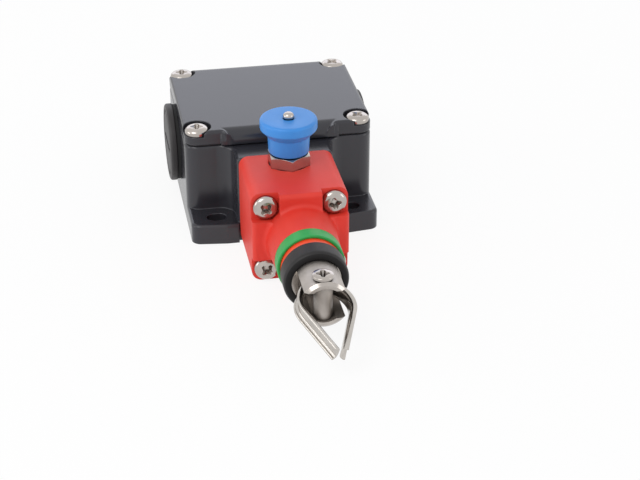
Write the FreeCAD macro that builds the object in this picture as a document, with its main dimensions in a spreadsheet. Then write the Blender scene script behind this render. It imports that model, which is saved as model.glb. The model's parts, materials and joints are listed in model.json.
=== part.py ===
import FreeCAD, Part
import math
import os
import Sketcher

# Rope pull switch: a die-cast switch box with a pull-rod head, a reset knob and a rope thimble.
# Millimetres. Z is up from the mounting plane, the rope pulls towards -Y, and the origin is the
# centre of the mounting slots.

SIZES = {
    # housing
    "body_width": 69.5,
    "body_depth": 60.0,
    "housing_height": 33.2,
    "corner_radius": 5.0,
    "wall": 4.0,
    "floor_thickness": 4.0,
    "neck_over": 0.5,
    "neck_length": 12.5,
    "neck_wall": 4.0,
    "neck_fillet": 6.0,
    "edge_round": 1.2,
    "rear_boss_length": 4.0,
    "entry_radius": 9.25,
    "entry_drop": 12.7,
    "flange_length": 14.3,
    "flange_height": 7.5,
    "flange_corner": 3.5,
    "flange_shoulder": 1.6,
    "flange_knee": 12.75,
    "slot_width": 5.3,
    "slot_length": 7.3,
    "slot_inset": 9.75,
    "slot_setback": 7.3,
    "screw_post": 5.0,
    "post_round": 3.5,
    "cavity_round": 1.0,
    # cover and its seal
    "gasket_thickness": 0.6,
    "gasket_inset": 0.6,
    "rim_height": 2.9,
    "platform_height": 2.3,
    "cover_skin": 2.2,
    "cover_margin": 8.5,
    "notch_radius": 5.3,
    "bump_length": 1.5,
    "bump_nook": 1.3,
    "brow_radius": 4.6,
    "cover_screw_inset_x": 4.85,
    "cover_screw_inset_y": 4.9,
    # M4 pan-head screws
    "screw_radius": 1.9,
    "screw_hole": 2.2,
    "screw_head_radius": 4.35,
    "screw_head_height": 2.7,
    "screw_grip": 9.0,
    "tap_spare": 2.0,
    # conduit plugs
    "plug_radius": 14.7,
    "plug_thickness": 2.6,
    "low_plug_thickness": 1.0,
    "plug_thread": 9.9,
    "plug_reach": 7.6,
    "plug_washer_radius": 14.3,
    "plug_washer_thickness": 1.2,
    "plug_behind": 2.5,
    "coin_slot_width": 2.0,
    "coin_slot_length": 17.0,
    # pull axis and rod
    "pull_travel": 12.0,
    "rod_radius": 4.0,
    "running_fit": 0.08,
    "rod_spigot": 3.0,
    "bush_radius": 6.5,
    "bush_flange_radius": 8.0,
    "bush_flange": 1.5,
    "spring_bore": 9.5,
    "spring_radius": 6.5,
    "spring_wire": 1.6,
    "spring_length": 23.0,
    "collar_radius": 8.0,
    "collar_length": 3.0,
    # red head
    "head_gasket": 0.5,
    "head_over": 1.0,
    "head_clearance": 0.2,
    "head_length": 33.0,
    "head_edge": 3.5,
    "head_round": 1.5,
    "head_notch": 9.6,
    "head_notch_depth": 3.5,
    "head_screw_inset": 5.05,
    "head_chamber": 9.0,
    "head_web": 6.0,
    "web_lead": 1.0,
    "nozzle_base": 12.4,
    "nozzle_tip": 11.7,
    "nozzle_flare": 1.5,
    "nozzle_length": 14.0,
    "wiper_length": 2.0,
    "ring_length": 5.3,
    "sleeve_radius": 10.55,
    "sleeve_wall": 1.5,
    "sleeve_show": 3.1,
    "sleeve_clearance": 1.0,
    "lock_nut_flats": 13.0,
    "lock_nut_length": 4.0,
    "cap_radius": 11.2,
    "cap_length": 8.1,
    "cap_round": 1.8,
    # clevis and thimble
    "clevis_radius": 8.5,
    "clevis_wall": 2.2,
    "clevis_length": 23.1,
    "clevis_slot": 10.2,
    "clevis_slot_length": 16.0,
    "clevis_lip": 1.0,
    "pin_radius": 3.2,
    "pin_head_radius": 3.6,
    "pin_head_height": 1.4,
    "pin_setback": 4.4,
    "thimble_inner": 8.0,
    "thimble_depth": 2.1,
    "thimble_height": 5.6,
    "thimble_sheet": 0.9,
    "thimble_bend": 2.0,
    "thimble_apex": 20.4,
    "thimble_gap": 0.35,
    "thimble_drop": 1.35,
    "thimble_shift": 0.3,
    "thimble_lead": 2.8,
    "thimble_hang": 21.0,
    # reset knob
    "reset_setback": 7.8,
    "hex_flats": 14.0,
    "hex_height": 4.2,
    "bush_shank": 6.0,
    "bush_shank_length": 5.0,
    "reset_chamber": 4.8,
    "reset_roof": 2.2,
    "reset_seal_section": 0.6,
    "stem_radius": 2.5,
    "stem_top_radius": 2.0,
    "stem_collar_radius": 4.4,
    "stem_collar_length": 1.4,
    "stem_collar_lift": 1.3,
    "stem_top_show": 2.0,
    "latch_radius": 1.5,
    "latch_depth": 2.0,
    "latch_clearance": 0.3,
    "key_width": 3.6,
    "knob_gap": 0.3,
    "knob_neck": 7.5,
    "knob_rim": 10.2,
    "knob_neck_height": 6.5,
    "knob_cone_height": 2.8,
    "knob_rim_height": 3.7,
    "knob_edge": 0.7,
    "reset_spring_radius": 3.7,
    "reset_spring_wire": 0.8,
    # cam and contacts
    "cam_half_width": 5.0,
    "cam_boss_length": 6.0,
    "cam_ramp_length": 18.0,
    "cam_slope": 3.0,
    "cam_low": 2.0,
    "contact_lead": 4.0,
    "plunger_half_width": 3.0,
    "plunger_half_length": 2.2,
    "cam_clearance": 0.1,
    "divider_gap": 0.4,
    "divider_thickness": 1.6,
    "guide_clearance": 0.2,
    "block_lift": 5.7,
    "block_floor": 1.0,
    "block_half_width": 25.0,
    "block_half_length": 11.0,
    "tower_half_width": 12.0,
    "tower_height": 9.5,
    "tower_wall": 2.5,
    "shelf_wall_height": 5.0,
    "shelf_wall": 1.2,
    "lid_clearance": 0.3,
    "lid_skin": 1.5,
    "strip_thickness": 1.0,
    "strip_half_width": 2.0,
    "strip_inner": 4.5,
    "strip_outer": 23.5,
    "row_offset": 5.5,
    "contact_radius": 1.4,
    "contact_height": 0.6,
    "contact_x": 6.2,
    "contact_gap": 0.2,
    "bridge_half_length": 8.2,
    "bridge_half_width": 1.7,
    "bridge_thickness": 1.0,
    "crosshead_half_length": 7.5,
    "crosshead_thickness": 1.6,
    "plunger_spring_radius": 1.9,
    "plunger_spring_wire": 0.6,
    "terminal_x": 18.5,
    "terminal_screw_radius": 1.5,
    "terminal_head_radius": 2.4,
    "terminal_head_height": 1.6,
    "terminal_clamp": 1.0,
    "block_post_radius": 4.0,
    "block_screw_x": 16.0,
    "earth_inset": 3.2,
    "earth_boss_radius": 4.5,
    "earth_boss_height": 6.0,
    "earth_clamp_half": 4.2,
    "earth_clamp_thickness": 1.0,
}


class Dim:
    """A length that knows its value and the sheet expression that drives it."""

    def __init__(self, value, text):
        self.value = value
        self.text = text

    def __add__(self, other):
        other = dim(other)
        return Dim(self.value + other.value, f"({self.text} + {other.text})")

    def __sub__(self, other):
        other = dim(other)
        return Dim(self.value - other.value, f"({self.text} - {other.text})")

    def __mul__(self, other):
        other = dim(other)
        return Dim(self.value * other.value, f"({self.text} * {other.text})")

    def __truediv__(self, other):
        other = dim(other)
        return Dim(self.value / other.value, f"({self.text} / {other.text})")

    def __radd__(self, other):
        return dim(other) + self

    def __rsub__(self, other):
        return dim(other) - self

    def __rmul__(self, other):
        return dim(other) * self

    def __neg__(self):
        return Dim(-self.value, f"(0 - {self.text})")


def dim(number):
    """A plain number as a Dim; a Dim stays as it is."""
    return number if isinstance(number, Dim) else Dim(float(number), f"{float(number):.6f}")


def root(length):
    """Square root of a Dim."""
    return Dim(math.sqrt(length.value), f"sqrt({length.text})")


def half_chord(radius, offset):
    """Half the chord that a circle cuts at an offset from its centre."""
    return root(radius * radius - offset * offset)


doc = FreeCAD.newDocument("rope_pull_switch")
sheet = doc.addObject("Spreadsheet::Sheet", "dims")
for row, (alias, value) in enumerate(SIZES.items(), start=1):
    sheet.set(f"A{row}", alias.replace("_", " "))
    sheet.set(f"B{row}", str(value))
    sheet.setAlias(f"B{row}", alias)
doc.recompute()


class Sheet:
    """Reads the driving sizes by name."""

    def __getattr__(self, alias):
        return Dim(float(sheet.get(alias)), f"dims.{alias}")


D = Sheet()
ZERO = dim(0)


def bind(target, path, size):
    """Drive a property with the sheet."""
    target.setExpression(path, dim(size).text)


def place(target, at):
    """Drive the three base coordinates of a placement."""
    for axis, size in zip("xyz", at):
        if dim(size).value != 0:
            bind(target, f".Placement.Base.{axis}", size)


class Outline:
    """Sketch geometry whose every point and radius is bound to the sheet."""

    def __init__(self, sketch):
        self.sketch = sketch
        self.named = 0

    def hold(self, kind, *where):
        *where, size = where
        index = self.sketch.addConstraint(Sketcher.Constraint(kind, *where, size.value))
        self.named += 1
        name = f"size{self.named}"
        self.sketch.renameConstraint(index, name)
        bind(self.sketch, f"Constraints.{name}", size)

    def pin(self, geometry, end, point):
        for kind, axis, size in (("DistanceX", -2, point[0]), ("DistanceY", -1, point[1])):
            if size is ZERO:
                self.sketch.addConstraint(Sketcher.Constraint("PointOnObject", geometry, end, axis))
            else:
                self.hold(kind, -1, 1, geometry, end, size)

    def join(self, first, first_end, second, second_end):
        self.sketch.addConstraint(
            Sketcher.Constraint("Coincident", first, first_end, second, second_end))

    def line(self, start, stop):
        return self.sketch.addGeometry(Part.LineSegment(vector(start), vector(stop)), False)

    def circle(self, centre, radius):
        shape = Part.Circle(vector(centre), FreeCAD.Vector(0, 0, 1), radius.value)
        geometry = self.sketch.addGeometry(shape, False)
        self.pin(geometry, 3, centre)
        self.hold("Radius", geometry, radius)

    def arc(self, centre, radius, start, stop):
        """An arc from start to stop, the short way round; gives its start and stop ends."""
        middle = vector(centre)
        first = vector(start) - middle
        last = vector(stop) - middle
        turn = first.x * last.y - first.y * last.x
        ends = (1, 2) if turn > 0 else (2, 1)
        if turn < 0:
            first, last = last, first
        begin = math.atan2(first.y, first.x)
        finish = math.atan2(last.y, last.x)
        if finish < begin:
            finish += 2 * math.pi
        circle = Part.Circle(middle, FreeCAD.Vector(0, 0, 1), radius.value)
        geometry = self.sketch.addGeometry(Part.ArcOfCircle(circle, begin, finish), False)
        self.hold("Radius", geometry, radius)
        return geometry, ends[0], ends[1]

    def chain(self, segments, closed=True):
        """Joined segments: (start, stop) for a line, (start, stop, centre, radius) for an arc."""
        made = []
        for segment in segments:
            if len(segment) == 2:
                made.append((self.line(*segment), 1, 2))
            else:
                start, stop, centre, radius = segment
                made.append(self.arc(centre, radius, start, stop))
        for (geometry, begin, _), segment in zip(made, segments):
            self.pin(geometry, begin, segment[0])
        if not closed:
            self.pin(made[-1][0], made[-1][2], segments[-1][1])
        for index in range(len(made) if closed else len(made) - 1):
            here = made[index]
            after = made[(index + 1) % len(made)]
            self.join(here[0], here[2], after[0], after[1])


def vector(point):
    return FreeCAD.Vector(point[0].value, point[1].value, 0)


def points(*pairs):
    """Corner coordinates as Dims, with a plain 0 kept on its axis."""
    made = []
    for corner in pairs:
        made.append(tuple(ZERO if size is ZERO or size == 0 else dim(size) for size in corner))
    return made


def step(corner, towards, radius):
    """The point a radius away from a corner along an axis-parallel edge."""
    across = towards[0].value - corner[0].value
    along = towards[1].value - corner[1].value
    if abs(across) > abs(along):
        return (corner[0] + radius * math.copysign(1, across), corner[1])
    return (corner[0], corner[1] + radius * math.copysign(1, along))


def polygon(*corners):
    """A closed loop; a corner with a third size is rounded and has axis-parallel edges."""
    corners = points(*corners)
    count = len(corners)
    entries = []
    for index, corner in enumerate(corners):
        if len(corner) == 2:
            entries.append((corner, corner, None))
            continue
        radius = corner[2]
        enter = step(corner, corners[index - 1], radius)
        leave = step(corner, corners[(index + 1) % count], radius)
        centre = (enter[0] + leave[0] - corner[0], enter[1] + leave[1] - corner[1])
        entries.append((enter, leave, (centre, radius)))
    segments = []
    for index, (enter, leave, rounding) in enumerate(entries):
        if rounding:
            segments.append((enter, leave, *rounding))
        segments.append((leave, entries[(index + 1) % count][0]))
    return lambda outline: outline.chain(segments)


def rectangle(left, bottom, right, top, radius=None):
    corners = ((left, bottom), (right, bottom), (right, top), (left, top))
    if radius is None:
        return polygon(*corners)
    return polygon(*[(x, y, radius) for x, y in corners])


def circle(x, y, radius):
    centre = points((x, y))[0]
    return lambda outline: outline.circle(centre, dim(radius))


def slot(x, y, length, width):
    """A slot along X with round ends, each end made of two quarter turns."""
    reach = length / 2
    round_end = width / 2
    flat = reach - round_end
    right = points((x + flat, y))[0]
    left = points((x - flat, y))[0]
    below = y - round_end
    above = y + round_end
    segments = [
        ((left[0], below), (right[0], below)),
        ((right[0], below), (x + reach, y), right, round_end),
        ((x + reach, y), (right[0], above), right, round_end),
        ((right[0], above), (left[0], above)),
        ((left[0], above), (x - reach, y), left, round_end),
        ((x - reach, y), (left[0], below), left, round_end),
    ]
    return lambda outline: outline.chain(segments)


def hexagon(flats):
    """A hexagon about the origin with corners on the second sketch axis."""
    corner = flats / math.sqrt(3)
    half = flats / 2
    return polygon((0, corner), (-half, corner / 2), (-half, -corner / 2),
                   (0, -corner), (half, -corner / 2), (half, corner / 2))


PLANES = {"XY": ("XY_Plane", 1), "XZ": ("XZ_Plane", -1), "YZ": ("YZ_Plane", 1)}
pieces = []


class Piece:
    """One named piece: a body with its sketches and features."""

    def __init__(self, label, at=(0, 0, 0)):
        self.body = doc.addObject("PartDesign::Body", label)
        self.body.Label = label
        place(self.body, at)
        pieces.append(self.body)

    def sketch(self, plane, level, loops):
        sketch = self.body.newObject("Sketcher::SketchObject", "outline")
        role, sense = PLANES[plane]
        planes = [item for item in self.body.Origin.OriginFeatures if item.Role == role]
        sketch.AttachmentSupport = [(planes[0], "")]
        sketch.MapMode = "FlatFace"
        bind(sketch, ".AttachmentOffset.Base.z", dim(level) * sense)
        outline = Outline(sketch)
        for loop in loops:
            loop(outline)
        return sketch

    def volume(self):
        return self.body.Shape.Volume if self.body.Tip else 0.0

    def added(self, before, feature, grows):
        doc.recompute()
        after = feature.Shape.Volume
        if not feature.isValid() or (after > before) != grows or after == before:
            told = f"{feature.State} {before:.3f} to {after:.3f}"
            raise RuntimeError(f"{self.body.Label}: {feature.Name} changed nothing, {told}")
        return feature

    def extrude(self, kind, plane, start, stop, loops):
        before = self.volume()
        profile = self.sketch(plane, start, loops)
        feature = self.body.newObject(f"PartDesign::{kind}", kind.lower())
        feature.Profile = profile
        bind(feature, "Length", dim(stop) - start)
        feature.Reversed = (plane == "XZ") == (kind == "Pad")
        return self.added(before, feature, kind == "Pad")

    def pad(self, plane, start, stop, *loops):
        return self.extrude("Pad", plane, start, stop, loops)

    def pocket(self, plane, start, stop, *loops):
        return self.extrude("Pocket", plane, start, stop, loops)

    def turn(self, kind, plane, axis, loops):
        before = self.volume()
        profile = self.sketch(plane, 0, loops)
        feature = self.body.newObject(f"PartDesign::{kind}", kind.lower())
        feature.Profile = profile
        feature.ReferenceAxis = (profile, [axis])
        feature.Angle = 360
        return self.added(before, feature, kind == "Revolution")

    def revolve(self, plane, axis, *loops):
        return self.turn("Revolution", plane, axis, loops)

    def groove(self, plane, axis, *loops):
        return self.turn("Groove", plane, axis, loops)

    def edges(self, test):
        shape = self.body.Tip.Shape
        return [f"Edge{index}" for index, edge in enumerate(shape.Edges, start=1) if test(edge)]

    def dress(self, kind, path, size, test):
        base = self.body.Tip
        names = self.edges(test)
        if not names:
            raise RuntimeError(f"{self.body.Label}: no edge to dress")
        feature = self.body.newObject(f"PartDesign::{kind}", kind.lower())
        feature.Base = (base, names)
        bind(feature, path, size)
        doc.recompute()
        if not feature.isValid() or feature.Shape.isNull():
            raise RuntimeError(f"{self.body.Label}: {kind} failed")
        return feature

    def fillet(self, radius, test):
        return self.dress("Fillet", "Radius", radius, test)

    def chamfer(self, size, test):
        return self.dress("Chamfer", "Size", size, test)


# How near an edge lies to the level it is looked for at.
NEAR = 0.02
# How far a cut runs past the wall it opens.
PAST = 1.0
# Share of a round head's height that its rim rounding takes.
DOME = 0.6
# The line about which the slack thimble turns as it hangs tip down and over to its right.
HANG = (0.811, 0.532, 0.242)


def at_level(axis, level):
    """Edges that lie in one plane across an axis."""
    low = f"{axis}Min"
    high = f"{axis}Max"

    def test(edge):
        box = edge.BoundBox
        return abs(getattr(box, low) - level.value) < NEAR and abs(getattr(box, high) - level.value) < NEAR
    return test


def ring_at(axis, level, radius):
    """Full circles of one radius in one plane across an axis."""
    flat = at_level(axis, level)

    def test(edge):
        curve = edge.Curve
        return flat(edge) and curve.TypeId == "Part::GeomCircle" and abs(curve.Radius - radius.value) < NEAR
    return test


def coil(label, at, direction, radius, wire, length, turns):
    """A compression spring of square wire between two seats, standing on at."""
    path = doc.addObject("Part::Helix", f"{label}_path")
    bind(path, "Radius", radius)
    bind(path, "Height", length - wire)
    bind(path, "Pitch", (length - wire) / turns)
    section = doc.addObject("Part::RegularPolygon", f"{label}_section")
    section.Polygon = 4
    bind(section, "Circumradius", wire / math.sqrt(2))
    upright = FreeCAD.Rotation(FreeCAD.Vector(1, 0, 0), 90)
    level = FreeCAD.Rotation(FreeCAD.Vector(0, 0, 1), 45)
    section.Placement = FreeCAD.Placement(FreeCAD.Vector(radius.value, 0, 0), upright * level)
    bind(section, ".Placement.Base.x", radius)
    spring = doc.addObject("Part::Sweep", label)
    spring.Label = label
    spring.Sections = [section]
    spring.Spine = (path, [])
    spring.Solid = True
    spring.Frenet = True
    spring.Placement = FreeCAD.Placement(FreeCAD.Vector(), direction)
    place(spring, at)
    pieces.append(spring)


SIGNS = ((-1, -1), (1, -1), (1, 1), (-1, 1))

# Levels and stations that several pieces share.
half_width = D.body_width / 2
half_depth = D.body_depth / 2
half_head = (D.housing_height + D.head_over) / 2
half_neck = half_head + D.neck_over
axis = half_head + D.head_clearance
entry_height = D.housing_height - D.entry_drop
neck_front = -half_depth - D.neck_length
rear_face = half_depth + D.rear_boss_length
flange_end = half_depth + D.flange_length
slot_x = half_width - D.slot_inset
slot_y = flange_end - D.slot_setback
shoulder = flange_end - D.flange_shoulder
knee = half_width - D.flange_knee
cavity_half_width = half_width - D.wall
cavity_half_depth = half_depth - D.wall
cover_bottom = D.housing_height + D.gasket_thickness
rim_top = cover_bottom + D.rim_height
cover_top = rim_top + D.platform_height
screw_x = half_width - D.cover_screw_inset_x
screw_y = half_depth - D.cover_screw_inset_y
cover_screws = [(screw_x * sx, screw_y * sy) for sx, sy in SIGNS]
post_x = screw_x - D.screw_post
post_y = screw_y - D.screw_post
head_rear = neck_front - D.head_gasket
head_front = head_rear - D.head_length
head_seat = head_front + D.head_notch_depth
web_rear = head_front + D.head_web - D.web_lead
web_front = web_rear - D.head_web
nozzle_end = head_front - D.nozzle_length
ring_end = nozzle_end - D.ring_length
cap_rear = ring_end - D.sleeve_show
cap_front = cap_rear - D.cap_length
clevis_front = cap_rear - D.clevis_length
slot_bottom = clevis_front + D.clevis_slot_length
pin_y = clevis_front + D.pin_setback
spring_seat = neck_front + D.neck_wall + D.bush_flange
collar_front = spring_seat + D.spring_length
collar_rear = collar_front + D.collar_length
sleeve_bore = D.sleeve_radius + D.running_fit
rod_bore = D.rod_radius + D.running_fit
reset_y = neck_front - D.reset_setback
head_top = axis + half_head
hex_top = head_top + D.hex_height
head_screw = half_head - D.head_screw_inset
head_screw_spots = [(head_screw * sx, head_screw * sz) for sx, sz in SIGNS]
block_bottom = axis + D.block_lift
strip_bottom = block_bottom + D.block_floor
strip_top = strip_bottom + D.strip_thickness
tower_top = block_bottom + D.tower_height
lid_top = cover_top - D.cover_skin - D.lid_clearance
bridge_bottom = strip_top + D.contact_height * 2 + D.contact_gap
bridge_top = bridge_bottom + D.bridge_thickness
crosshead_top = bridge_top + D.crosshead_thickness
cam_front = collar_rear + D.collar_length
cam_ramp = cam_front + D.cam_boss_length
contact_y = cam_ramp + D.contact_lead
divider_front = cam_ramp + D.cam_ramp_length + D.divider_gap
divider_rear = divider_front + D.divider_thickness
rows = [contact_y - D.row_offset, contact_y + D.row_offset]
earth_spot = (D.earth_inset - post_x, D.earth_inset - post_y)
terminals = [(D.terminal_x * side, y) for side in (-1, 1) for y in rows]
block_screws = [(D.block_screw_x * side, contact_y) for side in (-1, 1)]


def cavity():
    """Plan of the switch chamber, stepped round the four cover-screw posts."""
    far_x = cavity_half_width
    far_y = cavity_half_depth
    inner = D.post_round
    outer = D.cavity_round
    return polygon(
        (-post_x, -far_y, outer), (post_x, -far_y, outer), (post_x, -post_y, inner),
        (far_x, -post_y, outer), (far_x, post_y, outer), (post_x, post_y, inner),
        (post_x, far_y, outer), (-post_x, far_y, outer), (-post_x, post_y, inner),
        (-far_x, post_y, outer), (-far_x, -post_y, outer), (-post_x, -post_y, inner))


def make_housing():
    """Die-cast box with foot flanges, a neck for the head and a rear cable entry."""
    housing = Piece("housing")
    corner = D.corner_radius
    nib = D.edge_round
    housing.pad("XY", 0, D.flange_height, flange_outline())
    housing.fillet(D.edge_round, flange_rim_edge)
    housing.pad("XY", 0, D.housing_height, polygon(
        (-half_neck, neck_front, nib), (half_neck, neck_front, nib),
        (half_neck, -half_depth, D.neck_fillet), (half_width, -half_depth, corner),
        (half_width, half_depth, corner), (half_neck, half_depth, nib),
        (half_neck, rear_face, nib), (-half_neck, rear_face, nib),
        (-half_neck, half_depth, nib), (-half_width, half_depth, corner),
        (-half_width, -half_depth, corner), (-half_neck, -half_depth, D.neck_fillet)))
    housing.fillet(D.edge_round, neck_top_edge)
    housing.pocket("XY", 0, D.flange_height, *[
        slot(slot_x * sx, slot_y * sy, D.slot_length, D.slot_width) for sx, sy in SIGNS])
    housing.pocket("XY", D.floor_thickness, D.housing_height, cavity())
    post_depth = D.housing_height - D.screw_grip - D.tap_spare
    housing.pocket("XY", post_depth, D.housing_height, *[
        circle(x, y, D.screw_radius) for x, y in cover_screws])
    housing.pocket("XZ", neck_front + D.neck_wall, PAST - cavity_half_depth, circle(0, axis, D.spring_bore))
    housing.pocket("XZ", neck_front, neck_front + D.neck_wall, circle(0, axis, D.bush_radius))
    housing.pocket("XZ", neck_front, neck_front + D.screw_grip + D.tap_spare, *[
        circle(x, axis + z, D.screw_radius) for x, z in head_screw_spots])
    housing.pocket("XZ", cavity_half_depth - PAST, rear_face, circle(0, entry_height, D.entry_radius))
    side_hole = circle(D.plug_behind, entry_height, D.plug_thread)
    housing.pocket("YZ", -half_width, PAST - cavity_half_width, side_hole)
    housing.pocket("YZ", cavity_half_width - PAST, half_width, side_hole)
    housing.pad("XY", D.floor_thickness, block_bottom, *[
        circle(x, y, D.block_post_radius) for x, y in block_screws])
    housing.pocket("XY", block_bottom - D.screw_grip, block_bottom, *[
        circle(x, y, D.terminal_screw_radius) for x, y in block_screws])
    # A low wall keeps the cable's cores off the cam bar.
    mid_wall = half_width - D.wall / 2
    housing.pad("XY", D.floor_thickness, block_bottom, polygon(
        (-mid_wall, divider_front), (mid_wall, divider_front), (mid_wall, divider_rear),
        (-mid_wall, divider_rear)))
    earth_top = D.floor_thickness + D.earth_boss_height
    housing.pad("XY", D.floor_thickness, earth_top, circle(*earth_spot, D.earth_boss_radius))
    housing.pocket("XY", D.floor_thickness, earth_top, circle(*earth_spot, D.screw_radius))


def flange_outline():
    """The foot's outline: each end falls back from two knees to rounded corners."""
    foot = D.flange_corner
    slant = root(D.flange_knee * D.flange_knee + D.flange_shoulder * D.flange_shoulder)
    reach = foot * D.flange_knee / (slant + D.flange_shoulder)
    side_y = shoulder - reach
    end_x = half_width - D.flange_knee / slant * reach
    end_y = shoulder + D.flange_shoulder / slant * reach

    def corner(sx, sy):
        return ((half_width * sx, side_y * sy), (end_x * sx, end_y * sy),
                ((half_width - foot) * sx, side_y * sy))
    segments = []
    for turn, face in ((-1, neck_front), (1, rear_face)):
        side, begin, centre = corner(turn, turn)
        far_side, finish, far_centre = corner(-turn, turn)
        tip = flange_end * turn
        run = [begin, (knee * turn, tip), (half_neck * turn, tip), (half_neck * turn, face),
               (half_neck * -turn, face), (half_neck * -turn, tip), (knee * -turn, tip), finish]
        segments.append((side, begin, centre, foot))
        segments.extend(zip(run, run[1:]))
        segments.append((finish, far_side, far_centre, foot))
        segments.append((far_side, corner(-turn, -turn)[0]))
    return lambda outline: outline.chain(segments)


def flange_rim_edge(edge):
    """The flange's upper edges, but for those along the neck and the rear boss."""
    box = edge.BoundBox
    on_neck = box.XLength < NEAR and abs(abs(box.XMin) - half_neck.value) < NEAR
    on_face = box.YLength < NEAR and min(
        abs(box.YMin - neck_front.value), abs(box.YMin - rear_face.value)) < NEAR
    return at_level("Z", D.flange_height)(edge) and not on_neck and not on_face


def neck_top_edge(edge):
    """The long top edges of the neck, outside the tower's fillet."""
    box = edge.BoundBox
    straight = box.XLength < NEAR and box.ZLength < NEAR
    on_top = abs(box.ZMin - D.housing_height.value) < NEAR
    return straight and on_top and box.YMax < -half_depth.value


def make_cover():
    """Die-cast lid: a rim with four screw seats, and a raised top with rounded brows."""
    cover = Piece("cover")
    corner = D.corner_radius
    bump = half_head + D.bump_length * 2
    front = -half_depth - D.bump_length
    nook = D.bump_nook
    cover.pad("XY", cover_bottom, cover_top, polygon(
        (-bump, front), (bump, front), (bump, -half_depth, nook), (half_width, -half_depth, corner),
        (half_width, half_depth, corner), (-half_width, half_depth, corner),
        (-half_width, -half_depth, corner), (-bump, -half_depth, nook)))
    cover.fillet(D.edge_round, cover_side_edge)
    cover.pocket("XY", rim_top, cover_top, *[circle(x, y, D.notch_radius) for x, y in cover_screws])
    brow_low = cover_top - D.brow_radius
    brow_in = half_head
    brow_out = half_head + D.brow_radius
    deep = D.brow_radius + D.bump_length
    mouth = arch(brow_in, brow_out, brow_low, cover_top, D.brow_radius)
    cover.pocket("XZ", front, front + deep, mouth)
    cover.pad("YZ", -brow_out, brow_out, brow(front, deep, brow_low))
    cover.pocket("YZ", -half_width - PAST, half_width + PAST, back_round(brow_low))
    cover.pocket("XY", cover_bottom, cover_top - D.cover_skin, rectangle(
        -half_width + D.cover_margin, -half_depth + D.cover_margin,
        half_width - D.cover_margin, half_depth - D.cover_margin, D.corner_radius))
    cover.pocket("XY", cover_bottom, rim_top, *[circle(x, y, D.screw_hole) for x, y in cover_screws])


def arch(inner, outer, low, high, radius):
    """The mouth cut between the two towers: straight at the foot, flaring over the shoulders."""
    left = (-outer, low)
    right = (outer, low)
    segments = [
        ((-inner, low), (inner, low)),
        ((inner, low), (outer, high), right, radius),
        ((outer, high), (-outer, high)),
        ((-outer, high), (-inner, low), left, radius),
    ]
    return lambda outline: outline.chain(segments)


def back_round(low):
    """What the long round at the lid's rear takes off, seen from the side."""
    bend = half_depth - D.brow_radius
    segments = [
        ((half_depth, low), (half_depth, cover_top)),
        ((half_depth, cover_top), (bend, cover_top)),
        ((bend, cover_top), (half_depth, low), (bend, low), D.brow_radius),
    ]
    return lambda outline: outline.chain(segments)


def brow(face, deep, low):
    """The rounded front of the lid's top, seen from the side."""
    radius = D.brow_radius
    back = face + deep
    bend = face + radius
    foot = cover_bottom
    segments = [
        ((face, foot), (back, foot)),
        ((back, foot), (back, cover_top)),
        ((back, cover_top), (bend, cover_top)),
        ((bend, cover_top), (face, low), (bend, low), radius),
        ((face, low), (face, foot)),
    ]
    return lambda outline: outline.chain(segments)


def cover_side_edge(edge):
    """The long top edges of the lid's two sides."""
    box = edge.BoundBox
    straight = box.XLength < NEAR and box.ZLength < NEAR and box.YLength > D.corner_radius.value
    return straight and abs(box.ZMin - cover_top.value) < NEAR


def make_cover_gasket():
    """Flat rubber seal between housing and cover."""
    gasket = Piece("cover_gasket")
    inset = D.gasket_inset
    holes = [circle(x, y, D.screw_hole) for x, y in cover_screws]
    outer = rectangle(inset - half_width, inset - half_depth, half_width - inset, half_depth - inset,
                      D.corner_radius - inset)
    gasket.pad("XY", D.housing_height, cover_bottom, outer, cavity(), *holes)


def make_pan_screws(label, plane, seat, length, spots, sense, at=(0, 0, 0)):
    """M4 pan-head screws; sense is the way the heads point along the plane's axis."""
    screws = Piece(label, at)
    shank_end = seat - length * sense
    crown = seat + D.screw_head_height * sense
    low, high = (shank_end, seat) if sense > 0 else (seat, shank_end)
    screws.pad(plane, low, high, *[circle(x, y, D.screw_radius - D.running_fit) for x, y in spots])
    low, high = (seat, crown) if sense > 0 else (crown, seat)
    screws.pad(plane, low, high, *[circle(x, y, D.screw_head_radius) for x, y in spots])
    name = "Z" if plane == "XY" else "Y"
    screws.fillet(D.screw_head_height * DOME, ring_at(name, crown, D.screw_head_radius))


def make_plug(label, side):
    """Blanking plug with a broad head and a coin slot; the right one is a low one."""
    plug = Piece(label, (0, D.plug_behind, entry_height))
    thickness = D.plug_thickness if side < 0 else D.low_plug_thickness
    seat = half_width + D.plug_washer_thickness
    face = seat + thickness
    tip = seat - D.plug_reach
    thread = D.plug_thread - D.running_fit

    def pad(start, stop, loop):
        if side > 0:
            return plug.pad("YZ", start, stop, loop)
        return plug.pad("YZ", -stop, -start, loop)
    pad(tip, seat, circle(0, 0, thread))
    pad(seat, face, circle(0, 0, D.plug_radius))
    plug.fillet(thickness / 2, ring_at("X", face * side, D.plug_radius))
    slot_bottom_x = face - thickness / 2
    low, high = (slot_bottom_x, face) if side > 0 else (-face, -slot_bottom_x)
    plug.pocket("YZ", low, high, rectangle(
        -D.coin_slot_length / 2, -D.coin_slot_width / 2, D.coin_slot_length / 2, D.coin_slot_width / 2))


def make_plug_washers():
    """Sealing washers under both conduit plugs."""
    washers = Piece("plug_washers", (0, D.plug_behind, entry_height))
    ring = (circle(0, 0, D.plug_washer_radius), circle(0, 0, D.plug_thread))
    washers.pad("YZ", half_width, half_width + D.plug_washer_thickness, *ring)
    washers.pad("YZ", -half_width - D.plug_washer_thickness, -half_width, *ring)


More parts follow.
